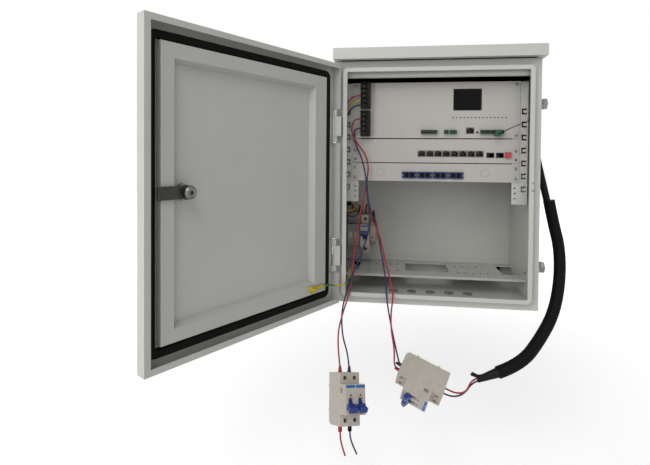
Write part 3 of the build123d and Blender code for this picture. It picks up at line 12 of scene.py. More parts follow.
import bmesh
import bpy
from mathutils import Matrix, Quaternion, Vector
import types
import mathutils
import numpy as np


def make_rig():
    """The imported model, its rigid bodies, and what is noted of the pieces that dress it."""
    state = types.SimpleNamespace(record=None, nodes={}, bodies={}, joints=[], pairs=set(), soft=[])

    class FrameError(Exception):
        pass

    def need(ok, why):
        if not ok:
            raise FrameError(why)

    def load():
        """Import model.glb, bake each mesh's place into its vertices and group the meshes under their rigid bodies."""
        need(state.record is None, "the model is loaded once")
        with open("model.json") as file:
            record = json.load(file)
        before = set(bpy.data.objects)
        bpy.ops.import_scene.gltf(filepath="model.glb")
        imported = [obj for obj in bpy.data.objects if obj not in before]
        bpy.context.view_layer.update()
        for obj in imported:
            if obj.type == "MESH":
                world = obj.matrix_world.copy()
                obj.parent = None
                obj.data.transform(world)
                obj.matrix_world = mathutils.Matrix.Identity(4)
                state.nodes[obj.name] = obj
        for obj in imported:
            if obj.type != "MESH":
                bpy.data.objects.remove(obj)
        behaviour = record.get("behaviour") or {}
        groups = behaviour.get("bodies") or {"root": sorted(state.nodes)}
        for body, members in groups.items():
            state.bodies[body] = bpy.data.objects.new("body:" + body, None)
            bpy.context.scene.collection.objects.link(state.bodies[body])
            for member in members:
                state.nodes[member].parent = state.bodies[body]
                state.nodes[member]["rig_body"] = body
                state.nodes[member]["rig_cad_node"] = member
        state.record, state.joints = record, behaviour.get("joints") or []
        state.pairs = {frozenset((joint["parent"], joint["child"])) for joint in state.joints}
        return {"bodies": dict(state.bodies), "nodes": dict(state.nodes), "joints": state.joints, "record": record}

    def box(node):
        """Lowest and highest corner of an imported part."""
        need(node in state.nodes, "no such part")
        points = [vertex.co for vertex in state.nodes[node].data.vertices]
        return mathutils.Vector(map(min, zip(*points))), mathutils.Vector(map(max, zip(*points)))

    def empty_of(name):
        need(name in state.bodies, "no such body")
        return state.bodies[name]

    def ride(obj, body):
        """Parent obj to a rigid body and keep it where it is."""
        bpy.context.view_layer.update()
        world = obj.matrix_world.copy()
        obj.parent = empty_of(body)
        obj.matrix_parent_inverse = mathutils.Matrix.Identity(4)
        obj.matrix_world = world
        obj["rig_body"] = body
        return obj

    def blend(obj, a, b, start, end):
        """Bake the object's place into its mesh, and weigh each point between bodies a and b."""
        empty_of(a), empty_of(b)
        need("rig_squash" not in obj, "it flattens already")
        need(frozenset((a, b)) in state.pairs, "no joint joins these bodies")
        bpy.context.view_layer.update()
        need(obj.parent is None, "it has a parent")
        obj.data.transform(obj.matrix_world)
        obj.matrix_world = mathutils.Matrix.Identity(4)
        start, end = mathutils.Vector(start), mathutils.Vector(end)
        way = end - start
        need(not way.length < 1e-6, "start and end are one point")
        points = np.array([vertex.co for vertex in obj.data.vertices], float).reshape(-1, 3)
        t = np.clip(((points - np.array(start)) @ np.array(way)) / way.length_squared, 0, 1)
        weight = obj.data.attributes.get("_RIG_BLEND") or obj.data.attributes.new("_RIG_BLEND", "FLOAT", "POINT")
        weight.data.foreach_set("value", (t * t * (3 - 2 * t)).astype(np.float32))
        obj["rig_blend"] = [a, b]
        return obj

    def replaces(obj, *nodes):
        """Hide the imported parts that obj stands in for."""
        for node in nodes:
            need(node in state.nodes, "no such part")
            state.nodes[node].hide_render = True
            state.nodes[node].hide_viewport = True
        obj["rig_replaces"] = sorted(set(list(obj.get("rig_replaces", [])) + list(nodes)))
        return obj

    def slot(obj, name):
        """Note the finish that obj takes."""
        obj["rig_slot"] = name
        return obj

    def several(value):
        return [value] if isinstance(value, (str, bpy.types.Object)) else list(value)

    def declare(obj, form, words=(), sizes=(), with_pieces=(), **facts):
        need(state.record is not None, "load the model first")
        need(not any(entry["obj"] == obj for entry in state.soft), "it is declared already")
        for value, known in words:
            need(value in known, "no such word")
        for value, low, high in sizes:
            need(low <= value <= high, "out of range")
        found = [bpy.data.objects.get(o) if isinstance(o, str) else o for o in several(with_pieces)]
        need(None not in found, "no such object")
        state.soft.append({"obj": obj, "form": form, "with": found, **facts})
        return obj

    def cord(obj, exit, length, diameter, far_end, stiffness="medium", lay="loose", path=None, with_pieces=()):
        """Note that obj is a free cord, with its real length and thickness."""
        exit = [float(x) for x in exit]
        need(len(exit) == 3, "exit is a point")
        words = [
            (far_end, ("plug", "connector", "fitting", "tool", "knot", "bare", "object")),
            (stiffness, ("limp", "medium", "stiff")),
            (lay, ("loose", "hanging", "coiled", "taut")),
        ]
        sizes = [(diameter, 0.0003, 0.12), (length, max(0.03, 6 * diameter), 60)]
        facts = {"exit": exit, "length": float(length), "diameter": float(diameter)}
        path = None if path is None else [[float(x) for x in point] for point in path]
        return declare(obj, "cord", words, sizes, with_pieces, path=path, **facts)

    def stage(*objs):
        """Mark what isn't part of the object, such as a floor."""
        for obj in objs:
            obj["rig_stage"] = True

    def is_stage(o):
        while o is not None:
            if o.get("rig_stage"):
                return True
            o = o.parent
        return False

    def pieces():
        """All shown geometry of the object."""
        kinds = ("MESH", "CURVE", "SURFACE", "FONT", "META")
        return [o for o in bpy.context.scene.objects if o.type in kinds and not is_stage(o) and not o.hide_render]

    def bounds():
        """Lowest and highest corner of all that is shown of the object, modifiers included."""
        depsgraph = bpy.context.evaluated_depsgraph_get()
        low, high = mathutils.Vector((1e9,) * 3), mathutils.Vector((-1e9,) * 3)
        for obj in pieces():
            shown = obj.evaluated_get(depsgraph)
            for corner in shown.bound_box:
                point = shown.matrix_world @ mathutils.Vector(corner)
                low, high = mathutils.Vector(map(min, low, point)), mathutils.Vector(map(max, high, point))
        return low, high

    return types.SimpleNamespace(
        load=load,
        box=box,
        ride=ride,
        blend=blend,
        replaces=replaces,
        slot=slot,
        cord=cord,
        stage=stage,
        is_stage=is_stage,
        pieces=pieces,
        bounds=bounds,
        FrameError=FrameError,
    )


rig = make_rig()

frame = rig.load()
nodes = frame["nodes"]
cad_low, cad_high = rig.bounds()
print("pieces", len(nodes), "bodies", sorted(frame["bodies"]))

# %% [markdown]
# ## Places
# A maker measures this cabinet from the lower left front corner of its body, in millimetres. The
# model's own origin is in the middle of the back wall, so one small function turns a shop
# measurement into a point of the scene. The corner is read from the shell, so nothing is typed twice.

# %% Measure from the body's corner
MM = 0.001
body_depth = 190.0
shell_low, shell_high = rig.box("cabinet_shell")
body_corner = Vector((shell_low.x, shell_high.y - body_depth * MM, shell_low.z))
body_width = (shell_high.x - shell_low.x) / MM
body_height = (shell_high.z - shell_low.z) / MM
print("body", round(body_width), "by", round(body_height), "mm")


def at(x, y, z):
    """The scene point that lies so many millimetres from the body's lower left front corner."""
    return body_corner + Vector((x, y, z)) * MM


# %% [markdown]
# ## Camera
# The picture was taken from just right of the open door, a little above the middle of the body, and
# then cropped. The crop moved the optical centre away from the middle of the frame, which the lens
# shift repeats. Yaw, pitch and roll came from matching the door's and the body's corners.

# %% Set the camera
picture_width, picture_height = 650, 465
focal_pixels = 434.0
centre_x, centre_y = 339.5, 166.9
yaw, pitch, roll = radians(-7.209), radians(1.084), radians(-0.485)
sensor_width = 36.0
camera_place = (104.4, -772.0, 256.9)

camera_data = bpy.data.cameras.new("camera")
camera = bpy.data.objects.new("camera", camera_data)
bpy.context.scene.collection.objects.link(camera)
bpy.context.scene.camera = camera
camera_data.sensor_width = sensor_width
camera_data.lens = focal_pixels * sensor_width / picture_width
camera_data.shift_x = (picture_width / 2 - centre_x) / picture_width
camera_data.shift_y = (centre_y - picture_height / 2) / picture_width
camera_data.clip_start = 0.01
camera.location = at(*camera_place)
view_direction = Vector((sin(yaw) * cos(pitch), cos(yaw) * cos(pitch), -sin(pitch)))
camera.rotation_mode = "QUATERNION"
camera.rotation_quaternion = view_direction.to_track_quat("-Z", "Y") @ Quaternion((0, 0, 1), -roll)
print("lens", round(camera_data.lens, 2), "mm")

# %% [markdown]
# ## World
# The cabinet is shown on white. A world that is white for every ray would light it from all sides and
# wash out the paint. So the world is white only where the camera or a mirror looks at it, and a plain
# grey where it lights the cabinet. The Light Path node tells the two apart.

# %% Write the node helpers
def plain_tree(owner):
    """Clears a material's or world's node tree and returns it."""
    owner.use_nodes = True
    owner.node_tree.nodes.clear()
    return owner.node_tree


def add_node(tree, kind, **settings):
    """Adds a node. Settings that name one of its inputs set that input, and others its properties."""
    node = tree.nodes.new(kind)
    for name, value in settings.items():
        title = name.replace("_", " ").title()
        if title in node.inputs:
            node.inputs[title].default_value = value
        else:
            setattr(node, name, value)
    return node


def seen_directly(tree):
    """One where the camera, a mirror or a glass looks at the surface, and zero for its light on others."""
    path = add_node(tree, "ShaderNodeLightPath")
    first = add_node(tree, "ShaderNodeMath", operation="MAXIMUM")
    both = add_node(tree, "ShaderNodeMath", operation="MAXIMUM")
    tree.links.new(path.outputs["Is Camera Ray"], first.inputs[0])
    tree.links.new(path.outputs["Is Glossy Ray"], first.inputs[1])
    tree.links.new(first.outputs[0], both.inputs[0])
    tree.links.new(path.outputs["Is Transmission Ray"], both.inputs[1])
    return both.outputs[0]


def map_range(tree, value, before, after):
    """Maps a value from one range of numbers to another."""
    mapped = add_node(tree, "ShaderNodeMapRange")
    for socket, number in zip(("From Min", "From Max", "To Min", "To Max"), (*before, *after)):
        mapped.inputs[socket].default_value = number
    tree.links.new(value, mapped.inputs["Value"])
    return mapped.outputs["Result"]


# %% Light the world
world_light = 0.32
world = bpy.data.worlds.new("studio")
bpy.context.scene.world = world
tree = plain_tree(world)
lighting = add_node(tree, "ShaderNodeBackground", Color=(1, 1, 1, 1), Strength=world_light)
backdrop = add_node(tree, "ShaderNodeBackground", Color=(1, 1, 1, 1), Strength=1.0)
choice = add_node(tree, "ShaderNodeMixShader")
world_out = add_node(tree, "ShaderNodeOutputWorld")
tree.links.new(seen_directly(tree), choice.inputs[0])
tree.links.new(lighting.outputs[0], choice.inputs[1])
tree.links.new(backdrop.outputs[0], choice.inputs[2])
tree.links.new(choice.outputs[0], world_out.inputs[0])
print("world light", world_light)

# %% [markdown]
# ## Floor
# A paper sweep behind a product has no edge that one could see. A plane has one, so this floor glows
# more with its distance from the cabinet and fades into the white world. The glow is there only for
# the eye, and adds no light to the paint. It lies some way below the leads, which keeps their shadow soft.

# %% Lay the floor
floor_reach, floor_drop = 6.0, 0.12
glow_from, glow_to = (0.7, 2.2), (0.5, 1.0)

floor_material = bpy.data.materials.new("pale_floor")
tree = plain_tree(floor_material)
surface = add_node(tree, "ShaderNodeBsdfPrincipled", Base_Color=(0.86, 0.86, 0.86, 1), Roughness=0.9)
surface.inputs["Emission Color"].default_value = (1, 1, 1, 1)
floor_place = add_node(tree, "ShaderNodeTexCoord")
distance = add_node(tree, "ShaderNodeVectorMath", operation="LENGTH")
glow = add_node(tree, "ShaderNodeMath", operation="MULTIPLY")
floor_out = add_node(tree, "ShaderNodeOutputMaterial")
tree.links.new(floor_place.outputs["Object"], distance.inputs[0])
tree.links.new(seen_directly(tree), glow.inputs[0])
tree.links.new(map_range(tree, distance.outputs["Value"], glow_from, glow_to), glow.inputs[1])
tree.links.new(glow.outputs[0], surface.inputs["Emission Strength"])
tree.links.new(surface.outputs[0], floor_out.inputs[0])

floor_level = cad_low.z - floor_drop
floor_corners = [(x * floor_reach, y * floor_reach, floor_level)
                 for x, y in ((-1, -1), (1, -1), (1, 1), (-1, 1))]
floor_mesh = bpy.data.meshes.new("floor")
floor_mesh.from_pydata(floor_corners, [], [(0, 1, 2, 3)])
floor_mesh.materials.append(floor_material)
floor = bpy.data.objects.new("floor", floor_mesh)
bpy.context.scene.collection.objects.link(floor)
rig.stage(floor)
print("floor at", round(floor_level, 3))

# %% [markdown]
# ## Lamps
# A sheet steel box needs soft light, or its flat sides turn into plain patches with hard shadows. Three
# square lamps, each over a metre wide, give that. The left one is the strongest and shapes the door, the
# high one lights the hood, and the weak one at the right lifts what the others leave dark.

# %% Hang the lamps
lamp_size = 1.2
lamp_target = (0.0, -0.1, 0.0)
lamp_places = {"left_lamp": ((-1.5, -2.1, 0.6), 21), "right_lamp": ((0.6, -2.5, 0.3), 4),
               "high_lamp": ((-0.3, -1.9, 1.6), 14)}


def soft_lamp(name, place, target, size, watts):
    """A square lamp, so many metres wide, that points at a target."""
    data = bpy.data.lights.new(name, "AREA")
    data.size = size
    data.energy = watts
    lamp = bpy.data.objects.new(name, data)
    bpy.context.scene.collection.objects.link(lamp)
    lamp.location = place
    lamp.rotation_mode = "QUATERNION"
    lamp.rotation_quaternion = (Vector(target) - Vector(place)).to_track_quat("-Z", "Y")


for name, (place, watts) in lamp_places.items():
    soft_lamp(name, place, lamp_target, lamp_size, watts)
bpy.context.scene.view_settings.view_transform = "Standard"
print("lamps", sorted(lamp_places))

# %% [markdown]
# ## Finishes
# Every surface here is a coat, a moulding or a metal, so they can share one way of working: a base
# shader, a broad uneven tone, a fine grain that also lifts the surface, and slightly rounded edges
# that catch the light. Each finish then gets its own numbers. Grain sizes are real ones, because the
# texture space is in metres.

# %% Start a finish
def tone(red, green, blue):
    """A colour read as on a screen, from 0 to 255, as the linear values that a shader takes."""
    def linear(value):
        """One channel, by the curve that screens use."""
        share = value / 255
        return share / 12.92 if share <= 0.04045 else ((share + 0.055) / 1.055) ** 2.4
    return (linear(red), linear(green), linear(blue), 1.0)


def new_finish(name, colour, roughness, metallic=0.0):
    """A material with one shader and nothing else yet. Returns it with its tree and shader."""
    material = bpy.data.materials.new(name)
    tree = plain_tree(material)
    shader = add_node(tree, "ShaderNodeBsdfPrincipled", Base_Color=colour, Roughness=roughness,
                      Metallic=metallic)
    out = add_node(tree, "ShaderNodeOutputMaterial")
    tree.links.new(shader.outputs[0], out.inputs[0])
    material.diffuse_color = colour
    return material, tree, shader


print("a tone of 128 is", round(tone(128, 128, 128)[0], 3), "as light")


# %% Lay a texture on it
def object_space(tree, stretch=(1, 1, 1)):
    """Texture space in metres of the scene, stretched along an axis for brushed or drawn surfaces."""
    place = add_node(tree, "ShaderNodeTexCoord")
    mapping = add_node(tree, "ShaderNodeMapping")
    mapping.inputs["Scale"].default_value = stretch
    tree.links.new(place.outputs["Object"], mapping.inputs["Vector"])
    return mapping.outputs["Vector"]


def noise(tree, space, per_metre, detail=2.0):
    """Cloudy noise with about so many spots in a metre."""
    texture = add_node(tree, "ShaderNodeTexNoise", Scale=per_metre, Detail=detail)
    tree.links.new(space, texture.inputs["Vector"])
    return texture.outputs[0]


def spread(tree, value, low, high):
    """Maps a noise, which is mostly between 0.3 and 0.7, to a range of numbers."""
    return map_range(tree, value, (0.3, 0.7), (low, high))


# %% Colour it and raise it
def two_tones(tree, shader, amount, first, second):
    """Paints the shader with a blend of two colours."""
    blend = add_node(tree, "ShaderNodeMix", data_type="RGBA")
    tree.links.new(amount, blend.inputs[0])
    for socket, colour in ((6, first), (7, second)):
        blend.inputs[socket].default_value = colour
    tree.links.new(blend.outputs[2], shader.inputs["Base Color"])


def relief(tree, shader, heights, edge=0.0):
    """Adds bumps, each a height value with its depth in metres, over edges rounded by so much."""
    below = None
    if edge:
        rounded = add_node(tree, "ShaderNodeBevel", samples=4, Radius=edge)
        below = rounded.outputs[0]
    for height, depth in heights:
        bump = add_node(tree, "ShaderNodeBump", Strength=1.0, Distance=depth)
        tree.links.new(height, bump.inputs["Height"])
        if below is not None:
            tree.links.new(below, bump.inputs["Normal"])
        below = bump.outputs[0]
    tree.links.new(below, shader.inputs["Normal"])


def shaded(colour, share):
    """A colour made so much darker or lighter."""
    return tuple(min(1.0, channel * share) for channel in colour[:3]) + (1.0,)


# %% [markdown]
# ## Powder coat
# Powder coat melts into a satin skin with a faint orange peel about half a millimetre across. Large
# sheets are never quite flat, so a slow wave of about half a millimetre breaks up their highlights,
# and fingers and dust leave broad, faint clouds. Creases get painted shade: an occlusion node darkens
# the colour where the sheet folds in. The housing is a cool white, the stiffening frame in
# the door is a little warmer, and the rack units are smoother.

# %% Mix the paints
peel_per_metre = 1900
wave_per_metre = 9
cloud_per_metre = 14
wave_depth, sheet_edge = 0.0006, 0.0004
crease_reach = 0.012
# how far dust and painted shade darken a coat, and how much its open parts are lifted
crease_shade_and_dust, clean_open_lift = 3.2, 0.3


def powder_coat(name, colour, roughness, peel_depth, dust_and_shade=0.06):
    """A satin coat with orange peel and clouds of dust, darkened in the creases by painted shade."""
    material, tree, shader = new_finish(name, colour, roughness)
    space = object_space(tree)
    clouds = noise(tree, space, cloud_per_metre, 5.0)
    # painted shade: the occlusion node darkens the colour in creases and folds, on top of the dust clouds
    crease = add_node(tree, "ShaderNodeAmbientOcclusion", samples=4, Distance=crease_reach)
    dust_and_crease_shade = add_node(tree, "ShaderNodeMath", operation="MULTIPLY")
    tree.links.new(spread(tree, clouds, 0.75, 1.0), dust_and_crease_shade.inputs[0])
    tree.links.new(crease.outputs["AO"], dust_and_crease_shade.inputs[1])
    two_tones(tree, shader, dust_and_crease_shade.outputs[0], shaded(colour, 1.0 - crease_shade_and_dust * dust_and_shade),
              shaded(colour, 1.0 + clean_open_lift * dust_and_shade))
    tree.links.new(spread(tree, clouds, roughness - 0.05, roughness + 0.07), shader.inputs["Roughness"])
    relief(tree, shader, [(noise(tree, space, wave_per_metre), wave_depth),
                          (noise(tree, space, peel_per_metre), peel_depth)], sheet_edge)
    shader.inputs["Specular IOR Level"].default_value = 0.45
    return material


white_paint = powder_coat("white_powder_coat", tone(194, 194, 189), 0.46, 0.00004)
frame_paint = powder_coat("frame_powder_coat", tone(190, 189, 185), 0.44, 0.00003)
unit_paint = powder_coat("unit_paint", tone(178, 175, 170), 0.42, 0.000012, 0.03)
print("paints", white_paint.name, frame_paint.name, unit_paint.name)

# %% [markdown]
# ## Foam and rubber
# The sheet under the roof and the door seal are closed cell foam: nearly black, matt, with open pores
# where they were cut. Cells of a Voronoi texture give round pores, darker towards their middles as
# painted shade in the pits, and a second, finer noise keeps them from looking drawn. Grommets are
# plain rubber with a soft sheen.

# %% Mix the foams and rubbers
def cell_foam(name, colour, cells_per_metre):
    """Matt foam with round open pores, each darkened towards its middle as painted shade."""
    material, tree, shader = new_finish(name, colour, 0.92)
    space = object_space(tree)
    cells = add_node(tree, "ShaderNodeTexVoronoi", Scale=cells_per_metre)
    tree.links.new(space, cells.inputs["Vector"])
    fine = noise(tree, space, 2600)
    # painted shade: the colour darkens towards the middle of each pore
    two_tones(tree, shader, cells.outputs["Distance"], shaded(colour, 0.55), shaded(colour, 1.5))
    relief(tree, shader, [(cells.outputs["Distance"], 0.0005), (fine, 0.0001)], 0.0012)
    shader.inputs["Specular IOR Level"].default_value = 0.12
    return material


def soft_rubber(name, colour, roughness=0.6):
    """Plain rubber with faint marks of handling."""
    material, tree, shader = new_finish(name, colour, roughness)
    space = object_space(tree)
    marks = noise(tree, space, 320, 4.0)
    two_tones(tree, shader, spread(tree, marks, 0.0, 1.0), shaded(colour, 0.8), shaded(colour, 1.5))
    relief(tree, shader, [(noise(tree, space, 2400), 0.00003)], 0.0004)
    shader.inputs["Specular IOR Level"].default_value = 0.15
    return material


black_foam = cell_foam("black_foam", tone(20, 20, 19), 620)
black_rubber = soft_rubber("black_rubber", tone(14, 14, 14))
grey_rubber = soft_rubber("grey_rubber", tone(118, 118, 115))
print("foam and rubber", black_foam.name, black_rubber.name, grey_rubber.name)

# %% [markdown]
# ## Metals
# Zinc plate is a bright grey with a faint yellow cast and small spangles, rougher than chrome. The
# lock's tongue is a dull, rolled steel with fine lines along it. A drawn surface gets its lines from
# noise that is stretched along one axis, and a plated one from plain spots.

# %% Mix the metals
def bare_metal(name, colour, roughness, stretch, grain, depth, edge=0.0003):
    """Bare or plated metal: its grain follows the stretch, and its stains don't."""
    material, tree, shader = new_finish(name, colour, roughness, 1.0)
    space = object_space(tree, stretch)
    lines = noise(tree, space, grain, 4.0)
    stains = noise(tree, object_space(tree), 60, 4.0)
    two_tones(tree, shader, spread(tree, stains, 0.0, 1.0), shaded(colour, 0.72), shaded(colour, 1.12))
    tree.links.new(spread(tree, lines, roughness - 0.08, roughness + 0.12), shader.inputs["Roughness"])
    relief(tree, shader, [(lines, depth)], edge)
    return material


zinc_plate = bare_metal("zinc_plate", tone(142, 141, 136), 0.44, (1, 1, 1), 900, 0.00003)
bright_casting = bare_metal("bright_casting", tone(112, 112, 108), 0.3, (1, 1, 1), 500, 0.00002)
rolled_steel = bare_metal("rolled_steel", tone(66, 65, 61), 0.42, (1, 1, 9), 500, 0.00003)
jack_shield = bare_metal("jack_shield", tone(188, 186, 182), 0.36, (6, 1, 1), 700, 0.00002, 0.0002)
brass = bare_metal("brass", tone(196, 160, 92), 0.35, (1, 1, 1), 700, 0.00002)
print("metals", zinc_plate.name, bright_casting.name, rolled_steel.name, jack_shield.name, brass.name)

# %% [markdown]
# ## Mouldings
# Breaker cases, terminal strips and headers are moulded plastic. Their tools are spark eroded, which
# leaves a matt grain of a few hundredths of a millimetre. A little scattering under the surface
# softens the thin white walls.

# %% Mix the plastics
def moulding(name, colour, roughness=0.5, grain_depth=0.00004, scatter=0.0, edge=0.0005, gloss=0.4):
    """Moulded plastic with a spark eroded grain, and some light under its surface."""
    material, tree, shader = new_finish(name, colour, roughness)
    space = object_space(tree)
    clouds = noise(tree, space, 90, 3.0)
    two_tones(tree, shader, spread(tree, clouds, 0.0, 1.0), shaded(colour, 0.93), shaded(colour, 1.06))
    tree.links.new(spread(tree, clouds, roughness - 0.04, roughness + 0.06), shader.inputs["Roughness"])
    relief(tree, shader, [(noise(tree, space, 3000), grain_depth)], edge)
    shader.inputs["Specular IOR Level"].default_value = gloss
    shader.inputs["Subsurface Weight"].default_value = scatter
    shader.inputs["Subsurface Scale"].default_value = 0.002
    return material


black_moulding = moulding("black_moulding", tone(16, 16, 17), 0.5, gloss=0.15)
white_moulding = moulding("white_moulding", tone(190, 182, 172), 0.48, 0.00003, 0.08)
box_moulding = moulding("box_moulding", tone(182, 180, 174), 0.5, 0.00003)
blue_moulding = moulding("blue_moulding", tone(14, 50, 128), 0.34)
adapter_blue = moulding("adapter_blue", tone(14, 36, 84), 0.4, edge=0.0002)
green_moulding = moulding("green_moulding", tone(20, 76, 46), 0.45, edge=0.0002)
red_moulding = moulding("red_moulding", tone(200, 84, 88), 0.45, edge=0.0002)
grey_moulding = moulding("grey_moulding", tone(128, 128, 126), 0.5)
beige_moulding = moulding("beige_moulding", tone(176, 168, 150), 0.5)
red_insulation = moulding("red_insulation", tone(152, 28, 40), 0.42, 0.00002, edge=0.0)
blue_insulation = moulding("blue_insulation", tone(16, 26, 72), 0.42, 0.00002, edge=0.0)
dark_blue_insulation = moulding("dark_blue_insulation", tone(14, 22, 48), 0.42, 0.00002, edge=0.0)
yellow_insulation = moulding("yellow_insulation", tone(190, 176, 48), 0.42, 0.00002, edge=0.0)
black_insulation = moulding("black_insulation", tone(12, 12, 12), 0.55, 0.00002, edge=0.0, gloss=0.1)
display_glass = moulding("display_glass", tone(8, 8, 7), 0.2, 0.0, edge=0.0002, gloss=0.06)
print("finishes so far", len(bpy.data.materials))

# %% [markdown]
# ## Dressing the solids
# The solids arrive bare. One list says which finish each takes, so a reader can see at a glance what
# every piece is made of.

# %% Give each solid its finish
finishes = {
    white_paint: ("cabinet_shell", "roof_hood", "door_panel", "hinge_blocks", "hinge_leaves",
                  "equipment_shelf", "equipment_rails", "hinge_pins"),
    frame_paint: ("door_frame",),
    unit_paint: ("psu_faceplate", "psu_chassis", "switch_unit", "fibre_panel"),
    black_foam: ("ceiling_foam", "door_gasket"),
    black_rubber: ("side_elbow",),
    grey_rubber: ("floor_grommets",),
    zinc_plate: ("side_bolts", "din_rail", "lock_nut", "panel_screws", "terminal_screws"),
    jack_shield: ("module_cages",),
    bright_casting: ("lock_body", "lock_core", "lock_cap"),
    rolled_steel: ("lock_tongue",),
    brass: ("wall_terminal",),
    black_moulding: ("terminal_blocks", "junction_plugs", "sensor_probe", "reset_button", "sleeve_wrap",
                     "network_jacks"),
    display_glass: ("display_window",),
    green_moulding: ("green_connectors",),
    red_moulding: ("supply_terminal",),
    adapter_blue: ("fibre_adapters",),
    blue_moulding: ("branch_toggle", "hung_toggle_1", "hung_toggle_2"),
    white_moulding: ("branch_breaker", "hung_breaker_1", "hung_breaker_2"),
    box_moulding: ("junction_box",),
    grey_moulding: ("surge_arrester",),
    beige_moulding: ("rail_terminals",),
    black_insulation: ("sleeve", "sensor_lead"),
    yellow_insulation: ("bond_lead", "door_terminal"),
    red_insulation: ("supply_loom", "lead_red_1", "lead_red_2", "tail_red", "out_red"),
    blue_insulation: ("lead_blue_1", "lead_blue_2", "tail_blue", "out_blue"),
}
for finish, names in finishes.items():
    for name in names:
        nodes[name].data.materials.clear()
        nodes[name].data.materials.append(finish)
print("dressed", sum(len(names) for names in finishes.values()))

# %% [markdown]
# ## Hanging leads
# Each lead is one soft wire between two terminals. It is drawn as a smooth curve whose control points
# stand where the wire bends, so it sags and twists past its neighbour instead of running straight.
# A free lead is declared with its real length, which is printed beside its drawn length.

# %% Draw one wire
lead_diameter = 2.8
lead_smoothness = 10


def wire(name, points, diameter, finish):
    """A round wire through soft control points, given in millimetres from the body's corner."""
    data = bpy.data.curves.new(name, "CURVE")
    data.dimensions = "3D"
    spline = data.splines.new("NURBS")
    spline.points.add(len(points) - 1)
    for control, point in zip(spline.points, points):
        control.co = (*at(*point), 1.0)
    spline.order_u = 3
    spline.use_endpoint_u = True
    spline.resolution_u = lead_smoothness
    data.bevel_depth = diameter / 2 * MM
    data.bevel_resolution = 4
    data.use_fill_caps = True
    data.materials.append(finish)
    drawn = bpy.data.objects.new(name, data)
    bpy.context.scene.collection.objects.link(drawn)
    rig.ride(drawn, "cabinet")
    return drawn


# %% Read a wire's smooth line
def centre_line(drawn):
    """The points of a wire's smooth line, read from its spline with the thickness off."""
    bare = drawn.data.copy()
    bare.bevel_depth = 0.0
    carrier = bpy.data.objects.new("centre_line", bare)
    bpy.context.scene.collection.objects.link(carrier)
    bpy.context.view_layer.update()
    mesh = bpy.data.meshes.new_from_object(carrier)
    points = [vertex.co.copy() for vertex in mesh.vertices]
    bpy.data.objects.remove(carrier)
    bpy.data.meshes.remove(mesh)
    bpy.data.curves.remove(bare)
    return points


def run_length(points):
    """The length of a line of points."""
    return sum((after - before).length for before, after in zip(points, points[1:]))


# %% [markdown]
# ## Routes of the leads
# A hanging wire can't be worked out from its ends, since its set, its twist and its neighbours decide where
# it bends. So each route is a list of given points, from its terminal past each bend to the
# breaker. The bare tails and the short leads to the sleeve are routes of the same kind.

